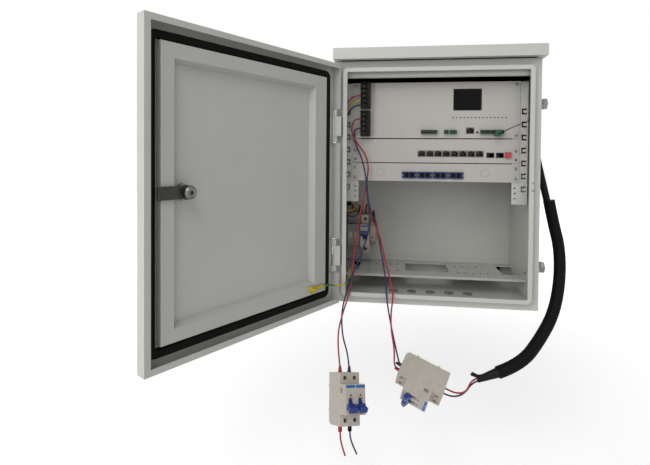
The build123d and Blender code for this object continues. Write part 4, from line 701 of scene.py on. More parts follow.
# %% Route and draw the leads
lead_routes = {
    "lead_red_1": [
        (42.0, 22.0, 330.3), (34.0, 22.0, 330.3), (27.5, 19.5, 321.0), (26.0, 16.5, 309.0),
        (30.0, 14.5, 297.0), (38.0, 14.0, 284.0), (52.2, 15.5, 265.8), (57.8, 17.0, 245.0),
        (55.4, 16.8, 215.0), (49.6, 15.5, 185.0), (43.2, 13.5, 157.0), (38.4, 9.5, 121.0),
        (34.3, 3.0, 85.4), (31.5, -6.0, 52.0), (28.7, -18.0, 21.0), (16.8, -21.5, -15.0),
        (9.6, -22.0, -45.0), (9.8, -23.0, -75.0), (13.4, -22.0, -106.9), (14.4, -28.8, -121.3)],
    "lead_blue_1": [
        (42.0, 22.0, 312.7), (35.0, 22.0, 312.7), (30.0, 22.8, 305.0), (31.5, 21.5, 291.0),
        (37.5, 17.5, 275.0), (47.0, 13.0, 255.0), (53.2, 11.0, 226.0), (56.8, 10.0, 195.0),
        (60.8, 9.5, 160.0), (60.4, 9.0, 130.0), (53.5, 6.0, 104.0), (41.5, -1.0, 71.0),
        (31.3, -12.5, 47.0), (24.0, -18.0, 24.0), (16.2, -17.0, -4.0), (14.6, -16.0, -30.0),
        (17.0, -13.5, -60.0), (24.6, -10.5, -86.0), (28.8, -13.9, -111.9), (29.6, -19.9, -124.5)],
    "lead_red_2": [
        (45.5, 154.8, 134.0), (45.5, 154.8, 152.0), (48.5, 139.0, 163.0), (54.0, 112.0, 164.0),
        (59.0, 80.0, 155.0), (64.0, 48.0, 147.5), (71.5, 22.0, 135.0), (81.5, 11.0, 112.0),
        (89.5, 8.0, 76.0), (99.0, -6.0, 44.0), (105.2, -18.5, 20.0), (101.0, -23.5, -8.0),
        (102.0, -25.0, -38.0), (107.0, -22.0, -66.0), (108.0, -13.5, -88.0), (107.5, -1.0, -105.0),
        (111.0, 5.6, -117.5), (123.8, 2.2, -121.9)],
    "lead_blue_2": [
        (60.5, 150.0, 125.0), (60.5, 150.0, 139.0), (61.5, 136.0, 150.5), (64.0, 110.0, 150.0),
        (67.0, 80.0, 141.0), (70.0, 50.0, 137.0), (75.0, 24.0, 124.0), (81.5, 12.0, 96.0),
        (87.5, 4.0, 64.0), (92.5, -8.5, 40.0), (93.0, -18.5, 20.0), (97.0, -18.5, -8.0),
        (103.4, -18.5, -40.0), (109.6, -15.0, -70.0), (114.5, -10.0, -93.0), (117.6, -6.5, -104.8),
        (125.8, -8.6, -107.6)],
    "tail_red": [
        (18.6, -57.7, -182.7), (19.5, -63.7, -195.4), (20.0, -58.5, -219.0), (28.0, -61.0, -238.6)],
    "tail_blue": [
        (33.9, -48.8, -185.9), (34.7, -54.7, -198.5), (36.0, -50.0, -221.0), (47.0, -53.0, -239.6)],
    "out_red": [
        (188.3, -25.2, -128.9), (201.1, -28.6, -133.3), (214.0, -31.5, -135.5), (228.0, -33.0, -130.5),
        (235.9, -28.4, -113.2), (245.3, -27.0, -109.9)],
    "out_blue": [
        (186.3, -14.4, -143.2), (199.1, -17.8, -147.5), (213.0, -20.5, -147.0), (227.0, -23.5, -138.0),
        (237.4, -28.4, -117.4), (246.7, -27.0, -114.1)],
}
lead_lengths = {"lead_red_1": 480.0, "lead_blue_1": 463.7, "lead_red_2": 444.6, "lead_blue_2": 397.2,
                "tail_red": 58.9, "tail_blue": 57.9, "out_red": 70.3, "out_blue": 77.3}
free_leads = {}
for name, points in lead_routes.items():
    finish = red_insulation if "red" in name else blue_insulation
    drawn = wire(f"{name}_wire", points, lead_diameter, finish)
    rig.replaces(drawn, name)
    free_leads[name] = drawn
    print(name, "drawn", round(run_length(centre_line(drawn)) / MM, 1), "real", lead_lengths[name])

# %% [markdown]
# ## Turned forms
# Boots, rivets, lamps and plugs are all turned or moulded round an axis. A cylinder with a bevel could
# stand for them, but each has a profile of its own. So a short list of distances and radii is spun
# round the axis: every row becomes a ring of points, and the rings are joined into a closed skin.

# %% Join rings into a skin
round_sides = 20


def ring(point, side, across, radius, count, flat=1.0, twist=0.0):
    """A ring of points round a scene point. The radius is in millimetres, and the twist in turns."""
    turns = (2 * pi * (number / count + twist) for number in range(count))
    return [point + (side * flat * cos(turn) + across * sin(turn)) * radius * MM for turn in turns]


def skin(build, rings, closed=True):
    """Joins rings of points into a tube, with flat ends. Returns its faces ring by ring."""
    made = [[build.verts.new(point) for point in points] for points in rings]
    count = len(made[0])
    faces = []
    for lower, upper in zip(made, made[1:]):
        faces.append([build.faces.new((lower[n], lower[(n + 1) % count], upper[(n + 1) % count], upper[n]))
                      for n in range(count)])
    if closed:
        build.faces.new(list(reversed(made[0])))
        build.faces.new(made[-1])
    return faces


def spin(build, start, direction, profile, sides=round_sides):
    """Adds a closed turned form: the profile is (distance along, radius) in millimetres from start."""
    along = direction.normalized()
    side = along.orthogonal().normalized()
    across = along.cross(side)
    skin(build, [ring(start + along * distance * MM, side, across, radius, sides)
                 for distance, radius in profile])


# %% Turn a mesh into a piece
def finished(name, build, finish, body=None, smooth_angle=35):
    """Turns a mesh under construction into a piece with its finish, and puts it on its body."""
    bmesh.ops.recalc_face_normals(build, faces=build.faces)
    mesh = bpy.data.meshes.new(name)
    build.to_mesh(mesh)
    build.free()
    mesh.materials.append(finish)
    mesh.shade_smooth()
    mesh.set_sharp_from_angle(angle=radians(smooth_angle))
    piece = bpy.data.objects.new(name, mesh)
    bpy.context.scene.collection.objects.link(piece)
    if body:
        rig.ride(piece, body)
    return piece


def turned(name, start, direction, profile, finish, sides=round_sides):
    """One turned piece on the cabinet."""
    build = bmesh.new()
    spin(build, start, direction, profile, sides)
    return finished(name, build, finish, "cabinet")


# %% [markdown]
# ## Boots on the lead ends
# Each lead enters its breaker through a short soft boot: a sleeve with a thick rim at the case and a
# taper towards the wire. Its profile is spun round the lead's own last straight run, so the boot
# always points the way that the wire leaves. The tails have a plain ferrule instead.

# %% Fit the boots
well_depth = 6.0
boot_length = 10.5
boot_profile = ((0.0, 2.9), (0.3, 3.4), (1.8, 3.5), (2.4, 3.1), (8.5, 2.4), (boot_length, 1.75))
ferrule_profile = ((0.0, 3.0), (0.3, 3.4), (9.0, 3.4), (9.6, 3.0), (10.2, 2.0))


def boot(name, route, finish, profile=boot_profile, at_start=False):
    """A boot round the end of a route, from the case outwards."""
    end, before = (route[0], route[1]) if at_start else (route[-1], route[-2])
    outward = (at(*before) - at(*end)).normalized()
    return turned(name, at(*end) + outward * well_depth * MM, outward, profile, finish)


boots = {}
for name, finish in (("lead_red_1", red_insulation), ("lead_blue_1", dark_blue_insulation),
                     ("lead_red_2", red_insulation), ("lead_blue_2", dark_blue_insulation)):
    boots[name] = boot(f"{name}_boot", lead_routes[name], finish)
for name, finish in (("tail_red", red_insulation), ("tail_blue", black_insulation)):
    boots[name] = boot(f"{name}_boot", lead_routes[name], finish, ferrule_profile, at_start=True)
print("boots", len(boots))

# %% [markdown]
# ## Lines with a frame
# A braid, a striped tube and a wrap all need to know which way is round at each point of their line.
# Carrying one sideways direction along the line, and only straightening it at each step, gives rings
# that never twist. The line itself is read from the smooth curve, so it is as round as the leads are.

# %% Carry a sideways direction along a line
def smooth_line(points, steps):
    """Closely spaced scene points of the smooth curve through soft control points."""
    drawn = wire("guide", points, 1.0, black_insulation)
    drawn.data.resolution_u = drawn.data.splines[0].resolution_u = steps
    line = centre_line(drawn)
    guide_data = drawn.data
    bpy.data.objects.remove(drawn)
    bpy.data.curves.remove(guide_data)
    return line


def framed(line):
    """For each point: the point, two directions across the line, and the distance along it in mm."""
    frames, side, travelled = [], None, 0.0
    for number, point in enumerate(line):
        before, after = line[max(number - 1, 0)], line[min(number + 1, len(line) - 1)]
        along = (after - before).normalized()
        side = along.orthogonal() if side is None else side - along * side.dot(along)
        side.normalize()
        if number:
            travelled += (point - before).length / MM
        frames.append((point, side.copy(), along.cross(side), travelled))
    return frames


# %% [markdown]
# ## Braided sleeve
# The thick black tube at the right is a braided sleeve over the leads to the mast: flat bundles of
# stiff yarn, half of them wound each way, each going over one and under the next. A bump pattern
# could fake that on a plain tube, but its edge would be smooth. Each bundle is a closed ribbon
# instead, and its distance from the middle follows a wave, so it really passes over and under.

# %% Braid the sleeve
sleeve_route = [(388.5, 72, 183), (396.4, 70.6, 141.8), (405, 62, 98), (404, 54, 42), (388, 34, -12),
                (358, 9, -50), (319.2, -16.2, -86.2), (280, -22, -100)]
sleeve_length, sleeve_diameter = 356.8, 20.0
sleeve_radius = 9.7
bundles = 12
bundle_width = 3.3
bundle_thickness = 0.22
weave_height = 0.16
braid_pitch = 62.8
liner_radius = 9.3
braid_angle, bundle_fill = 45, 0.78
bundle_half = bundle_width / 2 / cos(radians(braid_angle)) * bundle_fill
bundle_section = ((-1, -0.1), (1, -0.1), (0.75, bundle_thickness), (-0.75, bundle_thickness))
liner_sides, liner_step = 20, 3

sleeve_line = smooth_line(sleeve_route, 70)
sleeve_frames = framed(sleeve_line)


def bundle_rings(hand, bundle):
    """The sections of one bundle, which is wound to one hand and goes over and under the others."""
    rings = []
    for point, side, across, travelled in sleeve_frames:
        angle = hand * 2 * pi * travelled / braid_pitch + 2 * pi * bundle / bundles
        outward = side * cos(angle) + across * sin(angle)
        round_way = across * cos(angle) - side * sin(angle)
        middle = sleeve_radius + hand * weave_height * cos(pi * 2 * bundles * travelled / braid_pitch)
        rings.append([point + (outward * (middle + up) + round_way * bundle_half * way) * MM
                      for way, up in bundle_section])
    return rings


braid = bmesh.new()
for hand in (1, -1):
    for bundle in range(bundles):
        skin(braid, bundle_rings(hand, bundle))
skin(braid, [ring(point, side, across, liner_radius, liner_sides)
             for point, side, across, travelled in sleeve_frames[::liner_step]])
sleeve_piece = finished("sleeve_braid", braid, black_insulation, "cabinet", 50)
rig.replaces(sleeve_piece, "sleeve")
print("sleeve drawn", round(sleeve_frames[-1][3], 1), "real", sleeve_length)

# %% [markdown]
# ## Bonding lead
# A green and yellow lead joins the door to the body, so both are earthed. It has to follow the door,
# so it is a mesh that bends between the two bodies. Its two colours are separate bands of insulation
# that run along it and slowly round it, and each face takes one or the other.

# %% Draw the bonding lead
bond_route = [(-13.4, -50.3, 41), (-7.5, -40.9, 41), (2.5, -31.5, 38), (12.5, -24.5, 36), (22.4, -18.6, 37),
              (26.3, -8, 42.5), (26.6, 5, 48), (22, 18, 53), (13.5, 29, 58), (4.2, 40, 66), (4.2, 40, 80)]
bond_length = 133.4
bond_diameter = 3.0
band_turn = 45.0
tube_sides = 12

green_insulation = moulding("green_insulation", tone(60, 104, 50), 0.42, 0.00002, edge=0.0)
bond_line = smooth_line(bond_route, 16)
bond_frames = framed(bond_line)
tube = bmesh.new()
bands = skin(tube, [ring(point, side, across, bond_diameter / 2, tube_sides, twist=travelled / band_turn)
                    for point, side, across, travelled in bond_frames])
for row in bands:
    for number, face in enumerate(row):
        face.material_index = 1 if number < tube_sides // 2 else 0
bond_piece = finished("bond_lead_tube", tube, green_insulation, smooth_angle=180)
bond_piece.data.materials.append(yellow_insulation)
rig.replaces(bond_piece, "bond_lead")
print("bond lead drawn", round(bond_frames[-1][3], 1), "real", bond_length)

# %% [markdown]
# ## Wiring loom
# Three stiffer wires run down the left wall from the upper terminal strip to the devices on the rail.
# They are held, so they are no free cords: plain curves, side by side, with cable ties round them.

# %% Lay the loom
loom_diameter = 2.6
loom_routes = {
    "loom_red": (red_insulation, [
        (42.0, 22.0, 372.5), (31.0, 22.0, 372.5), (20.0, 22.8, 363.0), (10.5, 23.5, 347.0),
        (6.4, 23.8, 320.0), (6.2, 23.0, 285.0), (6.4, 24.0, 240.0), (6.0, 24.2, 205.0),
        (6.6, 24.6, 171.0), (12.0, 37.0, 156.0), (19.5, 62.0, 150.5), (22.6, 92.0, 151.0),
        (22.0, 122.0, 154.0), (16.5, 142.5, 162.0), (15.5, 150.0, 155.5), (15.5, 150.0, 145.0)]),
    "loom_yellow": (yellow_insulation, [
        (42.0, 22.0, 363.7), (32.0, 22.0, 363.7), (21.0, 26.2, 354.5), (13.0, 28.4, 337.0),
        (9.8, 28.6, 312.0), (9.6, 27.5, 280.0), (9.9, 28.0, 240.0), (9.4, 28.2, 205.0),
        (9.8, 28.6, 171.0), (16.5, 42.0, 158.5), (25.0, 65.0, 157.0), (28.0, 92.0, 160.5),
        (26.8, 122.0, 166.0), (27.5, 142.5, 165.5), (27.5, 150.0, 156.5), (27.5, 150.0, 145.0)]),
    "loom_blue": (dark_blue_insulation, [
        (42.0, 22.0, 354.9), (33.0, 22.0, 354.9), (23.0, 19.5, 346.0), (14.5, 17.2, 330.0),
        (9.8, 18.5, 305.0), (9.7, 18.0, 275.0), (9.8, 18.8, 240.0), (9.6, 19.0, 205.0),
        (10.4, 19.4, 171.0), (18.0, 31.0, 151.0), (29.0, 55.0, 145.5), (34.0, 84.0, 147.0),
        (34.2, 112.0, 154.5), (33.4, 136.0, 161.5), (33.0, 146.0, 155.5), (33.0, 146.0, 145.0)]),
}
for name, (finish, points) in loom_routes.items():
    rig.replaces(wire(name, points, loom_diameter, finish), "supply_loom")

# %% Tie the loom
tie_levels = (285.0, 240.0, 205.0)
tie_middle, tie_half = (8.5, 23.4), (3.0, 6.8)
tie_height = 2.6
tie_band = 0.9
tie_sides = 24
tie_section = ((-0.5, 0.0), (-0.5, tie_band), (0.5, tie_band), (0.5, 0.0), (-0.5, 0.0))
tie_turns = [2 * pi * number / tie_sides for number in range(tie_sides)]
ties = bmesh.new()
for level in tie_levels:
    skin(ties, [[at(tie_middle[0] + (tie_half[0] + grow) * cos(turn),
                    tie_middle[1] + (tie_half[1] + grow) * sin(turn), level + height * tie_height)
                 for turn in tie_turns] for height, grow in tie_section], closed=False)
bmesh.ops.remove_doubles(ties, verts=ties.verts, dist=1e-7)
finished("cable_ties", ties, black_moulding, "cabinet")
print("loom wires", len(loom_routes), "ties", len(tie_levels))

# %% [markdown]
# ## Temperature sensor's lead
# A thin black lead goes from a two way plug on the power unit to a probe beside the right rail. It is
# soft and light, so it is a plain curve with few points, and a free lead like those of the breakers.

# %% Draw the sensor's lead
sensor_route = [
    (284.25, 15, 303), (284.25, 8, 303), (291, 4.5, 306.5), (303, 6.5, 312.5), (318, 10.5, 318.5),
    (333, 12, 325), (343, 12, 331.5), (344.8, 16.5, 333), (344.8, 24, 333)]
sensor_length = 85.0
sensor_diameter = 1.4
sensor_wire = wire("sensor_wire", sensor_route, sensor_diameter, black_insulation)
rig.replaces(sensor_wire, "sensor_lead")
print("sensor lead drawn", round(run_length(centre_line(sensor_wire)) / MM, 1), "real", sensor_length)

# %% [markdown]
# ## Screws
# The rack units are held by pan head screws with a cross recess, and the terminal strips clamp their
# wires with the same head. One head is turned, a cross is cut out of it with a Boolean, and the result
# is copied to each place. Cutting once and copying is far quicker than cutting each one.

# %% Cut one screw head
def prism(build, corners, depth_from, depth_to):
    """Adds a straight prism: its corners are (x, y), and it runs along z."""
    skin(build, [[Vector((x, y, z)) for x, y in corners] for z in (depth_from, depth_to)])


head_profile = ((0.0, 1.0), (0.35, 1.0), (0.72, 0.86), (0.93, 0.55), (1.0, 0.2))
cross_arm, cross_half, cross_depth, cross_top = 0.52, 0.13, 0.55, 1.4
head_sides = 24
head_build = bmesh.new()
head_rows = [(rise / MM, radius / MM) for rise, radius in head_profile]
spin(head_build, Vector(), Vector((0, 0, 1)), head_rows, head_sides)
cross_build = bmesh.new()
long_arm = [(x * cross_arm, y * cross_half) for x, y in ((-1, -1), (1, -1), (1, 1), (-1, 1))]
for corners in (long_arm, [(-y, x) for x, y in long_arm]):
    prism(cross_build, corners, 1.0 - cross_depth, cross_top)
parts = {}
for name, build in (("head", head_build), ("cross", cross_build)):
    bmesh.ops.recalc_face_normals(build, faces=build.faces)
    mesh = bpy.data.meshes.new(name)
    build.to_mesh(mesh)
    build.free()
    parts[name] = bpy.data.objects.new(name, mesh)
    bpy.context.scene.collection.objects.link(parts[name])
cut = parts["head"].modifiers.new("cross", "BOOLEAN")
cut.operation, cut.solver, cut.use_self, cut.object = "DIFFERENCE", "EXACT", True, parts["cross"]
bpy.context.view_layer.update()
cut_head = parts["head"].evaluated_get(bpy.context.evaluated_depsgraph_get())
screw_head = bpy.data.meshes.new_from_object(cut_head)
for helper in parts.values():
    bpy.data.objects.remove(helper)
print("screw head faces", len(screw_head.polygons))


# %% Copy the head to its places
front = Vector((0, -1, 0))
unit_front = 30.0
rail_middles = (32.8, 317.2)
panel_screw_levels = (391.0, 301.0, 272.8, 257.5, 241.7, 223.5)
block_bottoms, block_screw_front, block_screw_middle = (298.5, 349.5), 20.0, 48.5
ways, way_pitch, middle_way = 5, 8.8, 23.0
head_turn = 0.7  # radians between one cross and the next, as a driver leaves them


def screws(name, places, direction, radius, rise, finish, node=None):
    """Copies of the screw head: places are scene points on the face they sit on."""
    build = bmesh.new()
    upright = direction.normalized().to_track_quat("Z", "Y").to_matrix().to_4x4()
    for number, place in enumerate(places):
        first = len(build.verts)
        build.from_mesh(screw_head)
        build.verts.ensure_lookup_table()
        spot = Matrix.Translation(place) @ upright @ Matrix.Rotation(head_turn * number, 4, "Z")
        size = Matrix.Diagonal((radius * MM, radius * MM, rise * MM, 1.0))
        bmesh.ops.transform(build, matrix=spot @ size, verts=build.verts[first:])
    piece = finished(name, build, finish, "cabinet")
    if node:
        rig.replaces(piece, node)


screws("panel_screw_heads", [at(x, unit_front, z) for x in rail_middles for z in panel_screw_levels],
       front, 2.6, 1.8, zinc_plate, "panel_screws")
way_levels = [bottom + middle_way + way_pitch * (way - (ways - 1) / 2)
              for bottom in block_bottoms for way in range(ways)]
block_spots = [at(block_screw_middle, block_screw_front, level) for level in way_levels]
screws("terminal_screw_heads", block_spots, front, 2.8, 1.6, rolled_steel, "terminal_screws")
print("block screws", len(block_spots))

# %% [markdown]
# ## Small blocks
# Pins, marks, slots and windows are small square things. Each is a block with its edges cut back, so
# it catches a line of light as a real moulded or pressed one does. Many go into one mesh, because
# they never move apart.

# %% Cut back the edges of a block
def slab(build, place, first, second, third, cut_back=0.12):
    """Adds a block. Each of its three measures is a low and a high, and place turns a corner into a point."""
    made = bmesh.ops.create_cube(build, size=1.0)["verts"]
    for vertex in made:
        picks = [pair[int(side > 0)] for pair, side in zip((first, second, third), vertex.co)]
        vertex.co = place(*picks)
    edges = list(dict.fromkeys(edge for vertex in made for edge in vertex.link_edges))
    thinnest = min(abs(high - low) for low, high in (first, second, third))
    bmesh.ops.bevel(build, geom=edges, offset=min(cut_back, thinnest * 0.3) * MM, segments=1, affect="EDGES")


def blocks(name, corners, finish, cut_back=0.15):
    """Many blocks as one piece, each between two corners in millimetres from the body's corner."""
    build = bmesh.new()
    for low, high in corners:
        slab(build, at, *zip(low, high), cut_back)
    finished(name, build, finish, "cabinet")


# %% Lamps and the rim of the display
lamp_count, lamp_pitch, first_lamp, lamp_level = 15, 6.55, 208.1, 332.5
lamp_profile, lamp_sides = ((0.0, 1.15), (0.25, 1.15), (0.45, 0.9), (0.6, 0.5)), 12
lamps = bmesh.new()
for number in range(lamp_count):
    spin(lamps, at(first_lamp + lamp_pitch * number, unit_front, lamp_level), front, lamp_profile, lamp_sides)
finished("status_lamps", lamps, display_glass, "cabinet")

window_left, window_right, window_low, window_high = 209.7, 256.5, 346.6, 382.7
rim, rim_front = 1.3, 29.3
rim_left, rim_right = window_left - rim, window_right + rim
rim_low, rim_high = window_low - rim, window_high + rim
blocks("display_rim", [
    ((rim_left, rim_front, rim_low), (rim_right, unit_front, window_low)),
    ((rim_left, rim_front, window_high), (rim_right, unit_front, rim_high)),
    ((rim_left, rim_front, window_low), (window_left, unit_front, window_high)),
    ((window_right, rim_front, window_low), (rim_right, unit_front, window_high))], black_moulding)
print("lamps", lamp_count)

# %% Mouths and pins of the headers
header_spans = ((151.6, 28.6), (192.5, 7.4), (202.6, 11.5), (255.4, 40.4))
header_pitch, header_front, header_back, header_bottom = 3.8, 23.0, 23.4, 303.0
mouth_half, mouth_levels, mouth_proud = 1.5, (1.2, 5.8), 0.05
pin_half, pin_levels, pin_proud = 0.4, (3.1, 3.9), 0.25
mouth_shades, pins = [], []
for left, length in header_spans:
    count = max(1, int(length / header_pitch))
    for number in range(count):
        middle = left + length * (number + 0.5) / count
        for made, half, levels, proud in ((mouth_shades, mouth_half, mouth_levels, mouth_proud),
                                          (pins, pin_half, pin_levels, pin_proud)):
            made.append(((middle - half, header_front - proud, header_bottom + levels[0]),
                         (middle + half, header_back, header_bottom + levels[1])))
# painted shade: thin black plates on the header faces stand in for the shade inside their mouths
blocks("header_mouths", mouth_shades, black_moulding, cut_back=0.02)
blocks("header_pins", pins, brass, cut_back=0.05)
print("header ways", len(pins))

# %% [markdown]
# ## Jacks
# A network jack is a shielded grey housing with a dark well and eight sprung gold wires. The housing
# and its well are one solid, so the finish changes with depth: grey at the face and black further in,
# which paints the shade inside the well. The module cages get the same painted shade inside.
# The wires are slim blocks under the roof of the well.

# %% Finish the jacks
def depth_shade_finish(name, light, dark, change_at):
    """A finish that turns dark behind a level, measured in mm from the body's front: painted shade deep in a recess.
    """
    material, tree, shader = new_finish(name, light, 0.45)
    place = add_node(tree, "ShaderNodeTexCoord")
    parts = add_node(tree, "ShaderNodeSeparateXYZ")
    behind = add_node(tree, "ShaderNodeMath", operation="GREATER_THAN")
    behind.inputs[1].default_value = at(0, change_at, 0).y
    tree.links.new(place.outputs["Object"], parts.inputs[0])
    tree.links.new(parts.outputs["Y"], behind.inputs[0])
    two_tones(tree, shader, behind.outputs[0], light, dark)
    relief(tree, shader, [(noise(tree, place.outputs["Object"], 3000), 0.00002)], 0.0002)
    shader.inputs["Specular IOR Level"].default_value = 0.35
    return material


# painted shade: the jacks' wells and the cages' insides are coloured black behind their faces
jack_moulding = depth_shade_finish("jack_moulding", tone(108, 104, 100), tone(6, 6, 6), 30.2)
cage_metal = depth_shade_finish("cage_metal", tone(96, 94, 91), tone(12, 12, 12), 30.0)
for name, finish in (("network_jacks", jack_moulding), ("module_cages", cage_metal)):
    nodes[name].data.materials.clear()
    nodes[name].data.materials.append(finish)

# %% Spring the contacts
jack_width = 14.5
bank_left, bank_bottom, bank_ways = 146.3, 261.6, 8
jack_corners = [(bank_left + jack_width * way, bank_bottom) for way in range(bank_ways)] + [(231.0, 303.3)]
contact_count, contact_pitch, contact_half = 8, 1.02, 0.225
contact_depths, contact_levels = (34.0, 38.0), (7.0, 7.4)
contacts = []
for left, bottom in jack_corners:
    for number in range(contact_count):
        x = left + jack_width / 2 + (number - (contact_count - 1) / 2) * contact_pitch
        contacts.append(((x - contact_half, contact_depths[0], bottom + contact_levels[0]),
                         (x + contact_half, contact_depths[1], bottom + contact_levels[1])))
blocks("jack_contacts", contacts, brass, cut_back=0.05)
print("jacks", len(jack_corners), "contacts", len(contacts))

# %% [markdown]
# ## Breakers
# The two hanging breakers and the one on the rail are the same kind: a stepped case with a plain
# coloured stripe over the lever, screw wells at both shoulders and small test holes. Black rings and
# discs paint the shade inside the wells and holes. Each case has its own tilt, so one function turns
# depth, height and width on a case into a scene point.

# %% Measure on a tilted case
def case_place(origin, depth_way, height_way):
    """A function that places a point by its depth, height and width on one breaker's case."""
    depth_way, height_way = Vector(depth_way).normalized(), Vector(height_way).normalized()
    width_way = height_way.cross(depth_way)
    start = at(*origin)

    def place(depth, height, width):
        """The scene point at a depth, height and width on the case, in millimetres."""
        return start + (depth_way * depth + height_way * height + width_way * width) * MM
    return place, depth_way


cases = {
    "hung_1": case_place((-1.8, -45.9, -196.4), (0.52457, -0.75578, 0.39194), (-0.06217, 0.42513, 0.90300)),
    "hung_2": case_place((130.8, 6.5, -85.5), (-0.38007, -0.76214, -0.52411), (0.91827, -0.24289, -0.31271)),
    "branch": case_place((36.5, 179.8, 60.0), (0, -1, 0), (0, 0, 1)),
}
print("cases", sorted(cases))

# %% Fit out the breakers
pole_width = 18.0
pole_counts = {"hung_1": 2, "hung_2": 2, "branch": 1}
case_front, shoulder_front, screw_seat, proud = 66.0, 45.0, 41.0, 0.1
screw_levels = (8.5, 71.5)
well_inner, well_outer, well_sides = 2.7, 3.3, 20
stripe_levels, stripe_half, stripe_proud = (57.2, 61.2), 8.1, 0.12
hole_level, hole_sides = 46.5, 16
hole_radii = {"hung_1": 1.5, "hung_2": 1.5, "branch": 1.1}
stripe_blue = moulding("stripe_blue", tone(36, 100, 164), 0.4, 0.00001, edge=0.0)


def well_shade_ring(build, place, level, middle):
    """Adds a black ring of painted shade in one screw well, from its seat to just over the shoulder."""
    top = shoulder_front + proud
    turns = [2 * pi * number / well_sides for number in range(well_sides)]
    skin(build, [[place(depth, level + radius * cos(turn), middle + radius * sin(turn)) for turn in turns]
                 for depth, radius in ((screw_seat, well_outer), (top, well_outer), (top, well_inner),
                                       (screw_seat, well_inner), (screw_seat, well_outer))], closed=False)


for name, (place, depth_way) in cases.items():
    stripe, dark, window = bmesh.new(), bmesh.new(), bmesh.new()
    middles = [pole_width * (pole + 0.5) for pole in range(pole_counts[name])]
    hole_profile = ((0.0, hole_radii[name]), (proud + stripe_proud, hole_radii[name]))
    for middle in middles:
        slab(stripe, place, (case_front - proud, case_front + stripe_proud), stripe_levels,
             (middle - stripe_half, middle + stripe_half))
        # painted shade: a black disc on the case face stands for the shade inside each test hole
        spin(dark, place(case_front - proud, hole_level, middle), depth_way, hole_profile, hole_sides)
        for level in screw_levels:
            well_shade_ring(dark, place, level, middle)
    bmesh.ops.remove_doubles(dark, verts=dark.verts, dist=1e-7)
    slab(window, place, (46.0, 52.0), (49.0, 57.0), (-proud, proud))
    slab(window, place, (47.2, 50.8), (50.5, 55.5), (-2.5 * proud, proud))
    screw_spots = [place(screw_seat, level, middle) for middle in middles for level in screw_levels]
    screws(f"{name}_clamp_screws", screw_spots, depth_way, 2.2, 1.2, rolled_steel, "terminal_screws")
    finished(f"{name}_stripe", stripe, stripe_blue, "cabinet")
    finished(f"{name}_dark_holes", dark, black_moulding, "cabinet")
    finished(f"{name}_side_window", window, grey_moulding, "cabinet")
    print(name, "poles", len(middles), "screws", len(screw_spots))

# %% [markdown]
# ## Lever paddles
# The solids carry each lever on its pivot, with a bar that ties two poles together. What a hand meets is
# a broad paddle on each pole. The paddles are slabs round the lever, and ride on the lever's own body,
# so they turn with it. A low neck joins each to its pivot. Both start outside the case, so they stay
# clear of it over the whole throw. The levers of the hanging breakers lean down and the rail breaker's
# leans up, so there the thick side of the paddle changes over.

# %% Add the paddles
pivot_depth, pivot_height = 60.0, 36.0
paddle_from, paddle_to, paddle_half_wide = 10.2, 19.6, 6.8
paddle_below, paddle_above = 5.0, 2.5
neck_from, neck_to, neck_half_high = 8.4, 10.7, 2.0
lever_bodies = {"hung_1": ("toggle_1", -30.0), "hung_2": ("toggle_2", -30.0),
                "branch": ("branch_toggle", 30.0)}


def lever_place(place, lean):
    """A function that places a point by its reach, rise and width on a lever that leans so many degrees."""
    along, up = cos(radians(lean)), sin(radians(lean))

    def on_lever(reach, rise, width):
        """The scene point at a reach, rise and width on the lever, in millimetres."""
        return place(pivot_depth + along * reach - up * rise, pivot_height + up * reach + along * rise, width)
    return on_lever


for name, (body, lean) in lever_bodies.items():
    on_lever = lever_place(cases[name][0], lean)
    rise = (-paddle_below, paddle_above) if lean < 0 else (-paddle_above, paddle_below)
    build = bmesh.new()
    for pole in range(pole_counts[name]):
        middle = pole_width * (pole + 0.5)
        widths = (middle - paddle_half_wide, middle + paddle_half_wide)
        slab(build, on_lever, (paddle_from, paddle_to), rise, widths, 0.8)
        slab(build, on_lever, (neck_from, neck_to), (-neck_half_high, neck_half_high), widths, 0.3)
    finished(f"{name}_paddles", build, blue_moulding, body)
print("paddles on", sorted(lever_bodies))

# %% [markdown]
# ## Devices on the rail
# The arrester has two grey windows, the terminal at the end of the rail an orange lever, and the
# junction box two dark entries. They sit deep in the box, so plain blocks with broken edges are enough.

# %% Fit out the rail
arrester_window_width = 7.5
blocks("arrester_windows", [((left, 119.6, 94.0), (left + arrester_window_width, 120.0, 106.0))
                            for left in (12.0, 24.5)], box_moulding)
orange_moulding = moulding("orange_moulding", tone(198, 104, 40), 0.45, edge=0.0)
blocks("terminal_lever", [((58.2, 138.6, 89.5), (63.4, 140.0, 94.5))], orange_moulding, cut_back=0.4)
entry_profile, entry_depths = ((0.0, 3.1), (0.25, 3.1), (0.4, 2.7)), (102.5, 117.5)
entries = bmesh.new()
for y in entry_depths:
    spin(entries, at(22.0, y, 187.5), Vector((1, 0, 0)), entry_profile, 18)
finished("junction_entries", entries, black_moulding, "cabinet")
print("junction box entries", len(entry_depths))

# %% [markdown]
# ## Marks on the sheet metal
# Spot welds leave faint round marks where the door's stiffener is joined, two rivets hold the catch
# plate, and a dark plug closes an unused hole in the right wall.

# %% Add welds, rivets and the plug
hinge_line = (0.6, -13.0)
door_along, door_out = Vector((-0.5299, -0.8480, 0.0)), Vector((-0.8480, 0.5299, 0.0))


def on_door(along, level, z):
    """A scene point on the open door: so far from the hinge line, so far outwards, and so high."""
    return at(hinge_line[0], hinge_line[1], z) + (door_along * along + door_out * level) * MM


